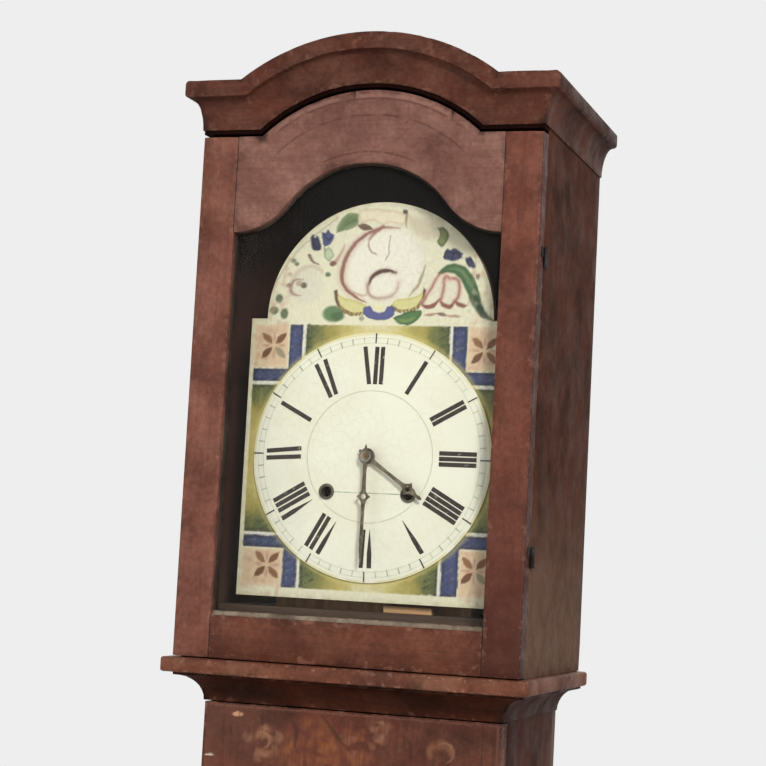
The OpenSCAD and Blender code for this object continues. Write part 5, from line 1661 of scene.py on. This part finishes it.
@dataclass
class Hand:
    """A cast hand with a waisted stem and a pierced lozenge."""

    node: str
    turn: float
    length: float
    ring: float
    bore: float
    lozenge: float
    wide: float
    stem: float
    tail: float
    front: float
    back: float

    def profile(self) -> tuple[list[Point], list[list[Point]]]:
        """Draws the hand pointing up, as an outline and its holes."""
        at, w, s = self.lozenge, self.wide, self.stem
        near, far = at - w * 1.25, at + w * 1.25
        lozenge = [(s * 1.15, near), (w * 0.34, at - w * 0.72), (w * 0.62, at - w * 0.3), (w, at),
                   (w * 0.62, at + w * 0.3), (w * 0.34, at + w * 0.72), (s * 1.1, far)]
        point = [(s * k, far + (self.length - far) * t) for t, k in ((0.2, 0.85), (0.6, 1.1), (0.86, 0.8))]
        hub = [(math.sin(a) * self.ring, math.cos(a) * self.ring)
               for a in np.linspace(math.asin(min(0.9, s * 1.4 / self.ring)), math.pi * 0.93, 16)]
        stem = [(s * 1.2, self.ring + 3), (s * 0.95, (self.ring + near) / 2)]
        half = [(self.ring * 0.2, -self.ring - self.tail * 0.5)] + hub[::-1] + stem + lozenge + point
        left = [(-x, z) for x, z in reversed(half)]
        outline = half + [(0.0, self.length)] + left + [(0.0, -self.ring - self.tail)]
        holes = [[(math.cos(a) * r, z + math.sin(a) * r) for a in np.linspace(0, math.tau, n, endpoint=False)]
                 for z, r, n in ((0.0, self.bore, 24), (at, w * 0.36, 16))]
        return outline, holes

    def build(self, datum: Datum, finish: bpy.types.Material) -> None:
        """Makes the hand and hides the plain one."""
        outline, holes = self.profile()
        bm = bmesh.new()
        edges = []
        for loop in [outline] + holes:
            verts = [bm.verts.new((x * MM, self.front * MM, z * MM)) for x, z in loop]
            edges += [bm.edges.new((a, b)) for a, b in zip(verts, verts[1:] + verts[:1])]
        filled = bmesh.ops.triangle_fill(bm, use_beauty=True, use_dissolve=False, edges=edges)
        faces = [g for g in filled["geom"] if isinstance(g, bmesh.types.BMFace)]
        solid = bmesh.ops.extrude_face_region(bm, geom=faces)
        moved = [g for g in solid["geom"] if isinstance(g, bmesh.types.BMVert)]
        bmesh.ops.translate(bm, verts=moved, vec=(0, (self.back - self.front) * MM, 0))
        bmesh.ops.recalc_face_normals(bm, faces=bm.faces)
        bevel(bm, sharp_edges(bm, 1.2), 0.28, 2, 0.6)
        bmesh.ops.transform(bm, verts=bm.verts, matrix=Matrix.Translation((datum.x, datum.y, datum.z))
                            @ Matrix.Rotation(math.radians(self.turn), 4, "Y"))
        mesh = bpy.data.meshes.new(f"{self.node}_cast")
        bm.to_mesh(mesh)
        bm.free()
        mesh.materials.append(finish)
        settle(add_object(mesh.name, mesh), self.node, True)


@dataclass
class Movement:
    """The wooden movement, its wheels, the weights, the pendulum and the bell."""

    drums: dict[str, Point] = field(
        default_factory=lambda: {"going_drum": (39.4, -33.4), "strike_drum": (-39.4, -33.4)})
    drum_r: float = 20.0
    line_r: float = 1.0
    drum_v: float = 46.0
    drum_len: float = 34.0

    def wind(self, datum: Datum, gut: bpy.types.Material) -> None:
        """Winds the lines on the drums, behind the hanging lines, which stay clear as the drums turn."""
        span = self.drum_len / 2 - 3.6
        start = self.drum_v + self.drum_len / 2 + 2.2
        for node, (x, z) in self.drums.items():
            coil = winding(f"{node}_winding", gut, self.drum_r * MM, self.line_r * MM * 0.96, 6, span * MM)
            place = Matrix.Translation(datum.at(x, start, z)) @ Matrix.Rotation(math.radians(-90), 4, "X")
            coil.data.transform(place)
            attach(coil, body_of(node))

    def build(self, datum: Datum) -> None:
        """Dresses the CAD nodes of the movement and adds the windings."""
        brass = Metal("aged_brass", (164, 132, 72), (96, 74, 40), 0.34).make()
        steel = Metal("blued_steel", (112, 108, 104), (58, 54, 54), 0.38).make()
        iron = Metal("dark_iron", (62, 58, 55), (40, 32, 28), 0.58, 0.75, 40.0).make()
        bell = Metal("bell_metal", (178, 150, 92), (112, 92, 52), 0.28).make()
        lead = Metal("weight_iron", (70, 66, 62), (52, 36, 28), 0.6, 0.6, 26.0).make()
        beech = BareWood("plate_beech", (176, 136, 88), (138, 100, 60), Grain.UPRIGHT, dust_share=0.3).make()
        pillar = BareWood("pillar_beech", (184, 144, 96), (142, 104, 64), Grain.DEEP, dust_share=0.2).make()
        gut = GutLine("gut_line").make()
        # The drums' front ends, behind the dial, carry painted shade.
        drum = Metal("drum_brass_shaded_front", (164, 132, 72), (96, 74, 40), 0.34, front=datum.y + 0.03).make()
        special = {"bell": bell, "going_weight": lead, "strike_weight": lead, "front_plate": beech,
                   "back_plate": beech, "movement_pillars": pillar, "going_line": gut, "strike_line": gut,
                   "going_drum": drum, "strike_drum": drum}
        by_slot = {"brass": brass, "steel": steel, "iron": iron}
        dressed = 0
        for name, node in frame["nodes"].items():
            finish = special.get(name) or by_slot.get(SLOTS[name])
            if finish and not node.hide_render:
                dress(name, finish)
                dressed += 1
        bronze = Metal("hand_bronze", (134, 124, 102), (78, 68, 52), 0.45, 0.4, 150.0).make()
        Hand("hour_hand", 125, 66, 7.5, 4.55, 49.5, 6.8, 1.55, 2, -13.5, -12.3).build(datum, bronze)
        Hand("minute_hand", 180, 99, 5, 2.05, 37, 6.6, 1.65, 6, -17, -15.8).build(datum, bronze)
        dress("hand_nut", Metal("nut_pewter", (168, 164, 150), (112, 106, 92), 0.34, 0.85, 120.0).make())
        self.wind(datum, gut)
        log.info("movement: %d nodes dressed, two hands and two windings made", dressed)


# The paintings on the trunk and the base


@dataclass
class TrunkPainting:
    """Worn folk flowers on the trunk door and on the base."""

    half: float = 139.5
    front: float = 32.0
    top: float = -41.5

    def rows(self, low: float) -> np.ndarray:
        """Gives rows that are close together where the view shows the door best."""
        near = np.arange(self.top - 70, self.top, 1.25)
        return np.concatenate([np.arange(low, self.top - 70, 3.2), near, [self.top]])

    def seen(self, p: Painting) -> None:
        """Paints the strokes that show at the top of the door, and painted light and shade from its left side
        to its right.
        """
        straw, orange, rust, shade = (152, 108, 82), (146, 88, 52), (124, 72, 46), (60, 35, 27)
        middle = np.clip(1 - np.hypot((p.x + 20) / 85, (p.z + 78) / 44), 0, 1)
        # Painted light and shade: the door is lightened towards its left and darkened towards its right.
        p.lay(np.clip(-p.x / 120 - 0.15, 0, 1) * 0.22, (132, 86, 70))
        p.lay(np.clip(p.x / 120 - 0.15, 0, 1) * 0.32, (56, 33, 26))
        p.lay(np.clip(smooth_noise(p.x, p.z, 15, 81), 0, 1) * middle * 0.6, (140, 84, 52))
        p.stroke([(-139, -43), (0, -42.8), (139, -43)], 1.5, (138, 98, 84), 0.4, 1.2)
        self.tuft(p, -34, -76, 26, 24, (rust, orange, rust, (158, 98, 58)), 60)
        self.tuft(p, -82, -74, 17, 13, (straw, (138, 94, 68), (160, 118, 88)), 22)
        self.tuft(p, 8, -70, 15, 13, (rust, orange, straw), 22)
        self.tuft(p, 30, -56, 9, 7, (straw, (138, 92, 70)), 10)
        self.tuft(p, 86, -72, 12, 10, (straw, rust), 12)
        self.tuft(p, 58, -74, 14, 12, (shade, (70, 42, 32)), 12)
        for line in ([(-28, -44), (-17, -56), (-8, -66), (4, -77)], [(48, -55), (57, -64), (60, -80)],
                     [(-56, -50), (-50, -62), (-52, -78)]):
            p.stroke(line, 4.4, shade, 0.6, 2, Taper.LEAF)
        for x, z, reach in ((29, -54, 7), (90, -70, 9), (-84, -72, 8)):
            curl = [(x + math.cos(a) * reach, z + math.sin(a) * reach) for a in np.linspace(-1.4, 2.2, 6)]
            p.stroke(curl, 3, straw, 0.65, 1.4, Taper.LEAF)
        chips = [(-109, -50, 6.4, 2.4, (200, 146, 114)), (-135, -89, 5, 1.3, (214, 196, 178))]
        for x, z, a, b, tint in chips:
            p.dab(x, z, a, b, tint, 0.95, 0.3)
        p.stroke([(124.5, -41), (125, -90), (124.5, -420), (125, -1040)], 0.9, (48, 28, 24), 0.7, 0.8)
        p.stroke([(138.8, -44), (138.6, -300), (138.8, -1040)], 2.2, (138, 100, 86), 0.45, 1.8)

    def bouquet(self, p: Painting, x: float, z: float, size: float, flip: float = 1.0) -> None:
        """Paints one worn spray: an ochre rose, side flowers, leaves and scrolls.

        Args:
            p: The painting.
            x: The middle of the rose, in mm.
            z: Its height, in mm.
            size: The rose's radius, in mm.
            flip: 1, or -1 to turn the spray over.
        """
        def at(u: float, v: float) -> Point:
            """Turns a place in the spray into one on the board."""
            return x + u * size * flip, z + v * size

        for angle in (25, 70, 118, 160, 205, 250, 292, 335):
            a = math.radians(angle)
            near, far = 0.9 + 0.1 * math.cos(angle), 2.0 + 0.35 * math.sin(angle * 3)
            mid = at(math.cos(a + 0.2) * (near + far) / 2, math.sin(a + 0.2) * (near + far) / 2)
            line = [at(math.cos(a) * near, math.sin(a) * near), mid, at(math.cos(a) * far, math.sin(a) * far)]
            p.stroke(line, size * 0.42, (60, 50, 36), 0.55, 2.2, Taper.LEAF)
            p.stroke(line, size * 0.12, (124, 100, 68), 0.45, 1.6, Taper.LEAF)
        self.tuft(p, x, z, size * 0.8, size * 0.75, ((124, 72, 46), (146, 88, 52), (158, 112, 80)), 46)
        for k, reach in enumerate((0.95, 0.7, 0.45)):
            arc = [at(math.cos(a) * reach, math.sin(a) * reach * 0.9)
                   for a in np.linspace(2.4 - k * 0.7, 5.6 - k * 0.5, 7)]
            p.stroke(arc, size * 0.14, (168, 122, 90), 0.6, 1.6, Taper.LEAF)
        for u, v in ((-1.9, 1.1), (1.9, 1.2), (-1.7, -1.3), (1.8, -1.2)):
            self.tuft(p, *at(u, v), size * 0.3, size * 0.28, ((152, 108, 82), (138, 92, 66)), 12)

    @staticmethod
    def tuft(p: Painting, x: float, z: float, across: float, up: float, tints: Sequence[Rgb],
             count: int) -> None:
        """Brushes short worn petals about a place.

        Args:
            p: The painting.
            x: The middle, in mm.
            z: Its height, in mm.
            across: How far the petals reach to each side.
            up: How far they reach up and down.
            tints: Their colours, taken in turn.
            count: How many there are.
        """
        rng = np.random.default_rng(int(abs(x * 7 + z * 3)))
        for k in range(count):
            turn, out = rng.uniform(0, math.tau), math.sqrt(rng.uniform(0.02, 1))
            cx, cz = x + across * out * math.cos(turn), z + up * out * math.sin(turn)
            lean, half, bend = turn + rng.uniform(0.6, 2.4), rng.uniform(3, 6.5), rng.uniform(-0.9, -0.2)
            dx, dz = math.cos(lean) * half, math.sin(lean) * half
            p.stroke([(cx - dx, cz - dz), (cx - dz * bend, cz + dx * bend), (cx + dx, cz + dz)],
                     rng.uniform(3.6, 7.2), tints[k % len(tints)], rng.uniform(0.2, 0.42), 2.8, Taper.LEAF)

    def build(self, datum: Datum) -> None:
        """Makes the painted layers of the trunk door and of the base."""
        low = (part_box("trunk_door")[0].z - datum.z) / MM
        finish = PaintedWood("trunk_door_paint", body=(97, 51, 38), haze=(112, 67, 51), dark=(59, 33, 25),
                             grain=Grain.UPRIGHT, painted=True).make()
        piece, x, z = painted_panel("trunk_door_painting", datum, np.linspace(-self.half, self.half, 190),
                                    self.rows(low + 2.5), self.front - 0.15, 0.4, finish)
        p = Painting(x, z, 17)
        for k, (height, size) in enumerate(((-205, 30), (-420, 34), (-640, 30), (-850, 34))):
            self.bouquet(p, (-1) ** k * 12, height, size, (-1) ** k)
            stem = [(0, height - 120), (16 * (-1) ** k, height - 80), (0, height - 40)]
            p.stroke(stem, 3, (62, 54, 38), 0.5, 2)
        self.seen(p)
        p.keep(piece.data)
        settle(piece, "trunk_door")
        foot = (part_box("base_front")[0].z - datum.z) / MM
        piece, x, z = painted_panel("base_painting", datum, np.linspace(-84, 84, 76),
                                    np.linspace(foot + 200, foot + 380, 80), 8.0 - 0.15, 0.4, finish)
        p = Painting(x, z, 23)
        self.bouquet(p, 0, foot + 290, 30)
        p.keep(piece.data)
        settle(piece, "base_front")
        log.info("paintings on the trunk door and the base")


# The studio


@dataclass
class Studio:
    """The camera at the photograph's angle, a pale floor, soft lamps and a pale surround."""

    focal_px: float = 1943.7
    frame_px: float = 766.0
    eye: tuple[float, float, float] = (0.5762, -1.75535, 1.6514)
    yaw: float = 0.323
    pitch: float = 0.092
    roll: float = 0.053
    sensor: float = 36.0
    backdrop: Rgb = (238, 238, 238)
    light: float = 0.42

    def camera(self) -> None:
        """Sets the camera up from the fitted view."""
        flat = math.cos(self.pitch)
        forward = Vector((-math.sin(self.yaw) * flat, math.cos(self.yaw) * flat, math.sin(self.pitch)))
        level = Vector((math.cos(self.yaw), math.sin(self.yaw), 0))
        up = level.cross(forward)
        right = level * math.cos(self.roll) + up * math.sin(self.roll)
        top = up * math.cos(self.roll) - level * math.sin(self.roll)
        data = bpy.data.cameras.new("photograph_view")
        data.sensor_width = self.sensor
        data.lens = self.sensor * self.focal_px / self.frame_px
        camera = add_object("photograph_view", data)
        turn = Matrix((right, top, -forward)).transposed().to_4x4()
        camera.matrix_world = Matrix.Translation(self.eye) @ turn
        bpy.context.scene.camera = camera

    @staticmethod
    def lamp(name: str, place: Sequence[float], aim: Sequence[float], size: float, power: float) -> None:
        """Hangs one soft square lamp.

        Args:
            name: The lamp's name.
            place: Where it hangs, in metres.
            aim: What it points at, in metres.
            size: Its side, in metres.
            power: Its power in watts.
        """
        data = bpy.data.lights.new(name, "AREA")
        data.size, data.energy = size, power
        light = add_object(name, data)
        light.location = place
        light.rotation_euler = (Vector(aim) - Vector(place)).to_track_quat("-Z", "Y").to_euler()

    def floor(self) -> None:
        """Lays a pale floor that goes a long way out."""
        points = [(x, y, 0) for x, y in ((-6, -6), (6, -6), (6, 6), (-6, 6))]
        s = Shader("pale_floor")
        plain = make_piece("studio_floor", points, [(0, 1, 2, 3)],
                           s.finish(s.blend(s.noise(3.0), (226, 226, 224), (232, 232, 230)), 0.8))

    def surround(self) -> None:
        """Makes the surround pale to the camera and to reflections, and dimmer as a light."""
        world = bpy.data.worlds.new("studio_surround")
        world.use_nodes = True
        world.node_tree.nodes.clear()
        t = Tree(world.node_tree)
        path = t.add("ShaderNodeLightPath").outputs
        share: Socket = path["Is Camera Ray"]
        for name in ("Is Glossy Ray", "Is Transmission Ray"):
            share = t.math("MAXIMUM", share, path[name])
        light = t.add("ShaderNodeBackground", {0: (1, 1, 1, 1), 1: self.light})
        seen = t.add("ShaderNodeBackground", {0: linear(self.backdrop)})
        mix = t.add("ShaderNodeMixShader", {0: share, 1: light.outputs[0], 2: seen.outputs[0]})
        t.add("ShaderNodeOutputWorld", {0: mix.outputs[0]})
        bpy.context.scene.world = world

    def build(self) -> None:
        """Sets the whole studio up."""
        bpy.context.scene.view_settings.view_transform = "Standard"
        self.camera()
        self.floor()
        self.surround()
        self.lamp("key", (1.5, -2.6, 2.95), (0, 0, 1.65), 0.55, 66)
        self.lamp("fill", (-2.2, -2.2, 1.9), (0, 0, 1.5), 2.4, 22)
        self.lamp("rim", (-0.4, 2.6, 2.8), (0, 0, 1.5), 2.0, 22)
        log.info("studio: camera, floor and lamps")


def drop_defaults(keep: Iterable[bpy.types.Object]) -> None:
    """Takes away what a new file holds that isn't the frame's."""
    kept = set(keep)
    for thing in list(bpy.data.objects):
        if thing not in kept and thing.name in {"Cube", "Light", "Camera"}:
            bpy.data.objects.remove(thing)


def main() -> None:
    """Dresses the clock piece by piece."""
    logging.basicConfig(level=logging.INFO, format="%(name)s: %(message)s")
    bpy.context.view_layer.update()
    drop_defaults([*frame["nodes"].values(), *frame["bodies"].values()])
    hood, dial = hood_datum(), dial_datum()
    CaseBoards().build()
    Hood().build()
    HoodDoor().build()
    TrunkPainting().build(hood)
    DialBoard().build(dial)
    ChapterDisc().build(dial)
    Movement().build(dial)
    Studio().build()


if __name__ == "__main__":
    main()
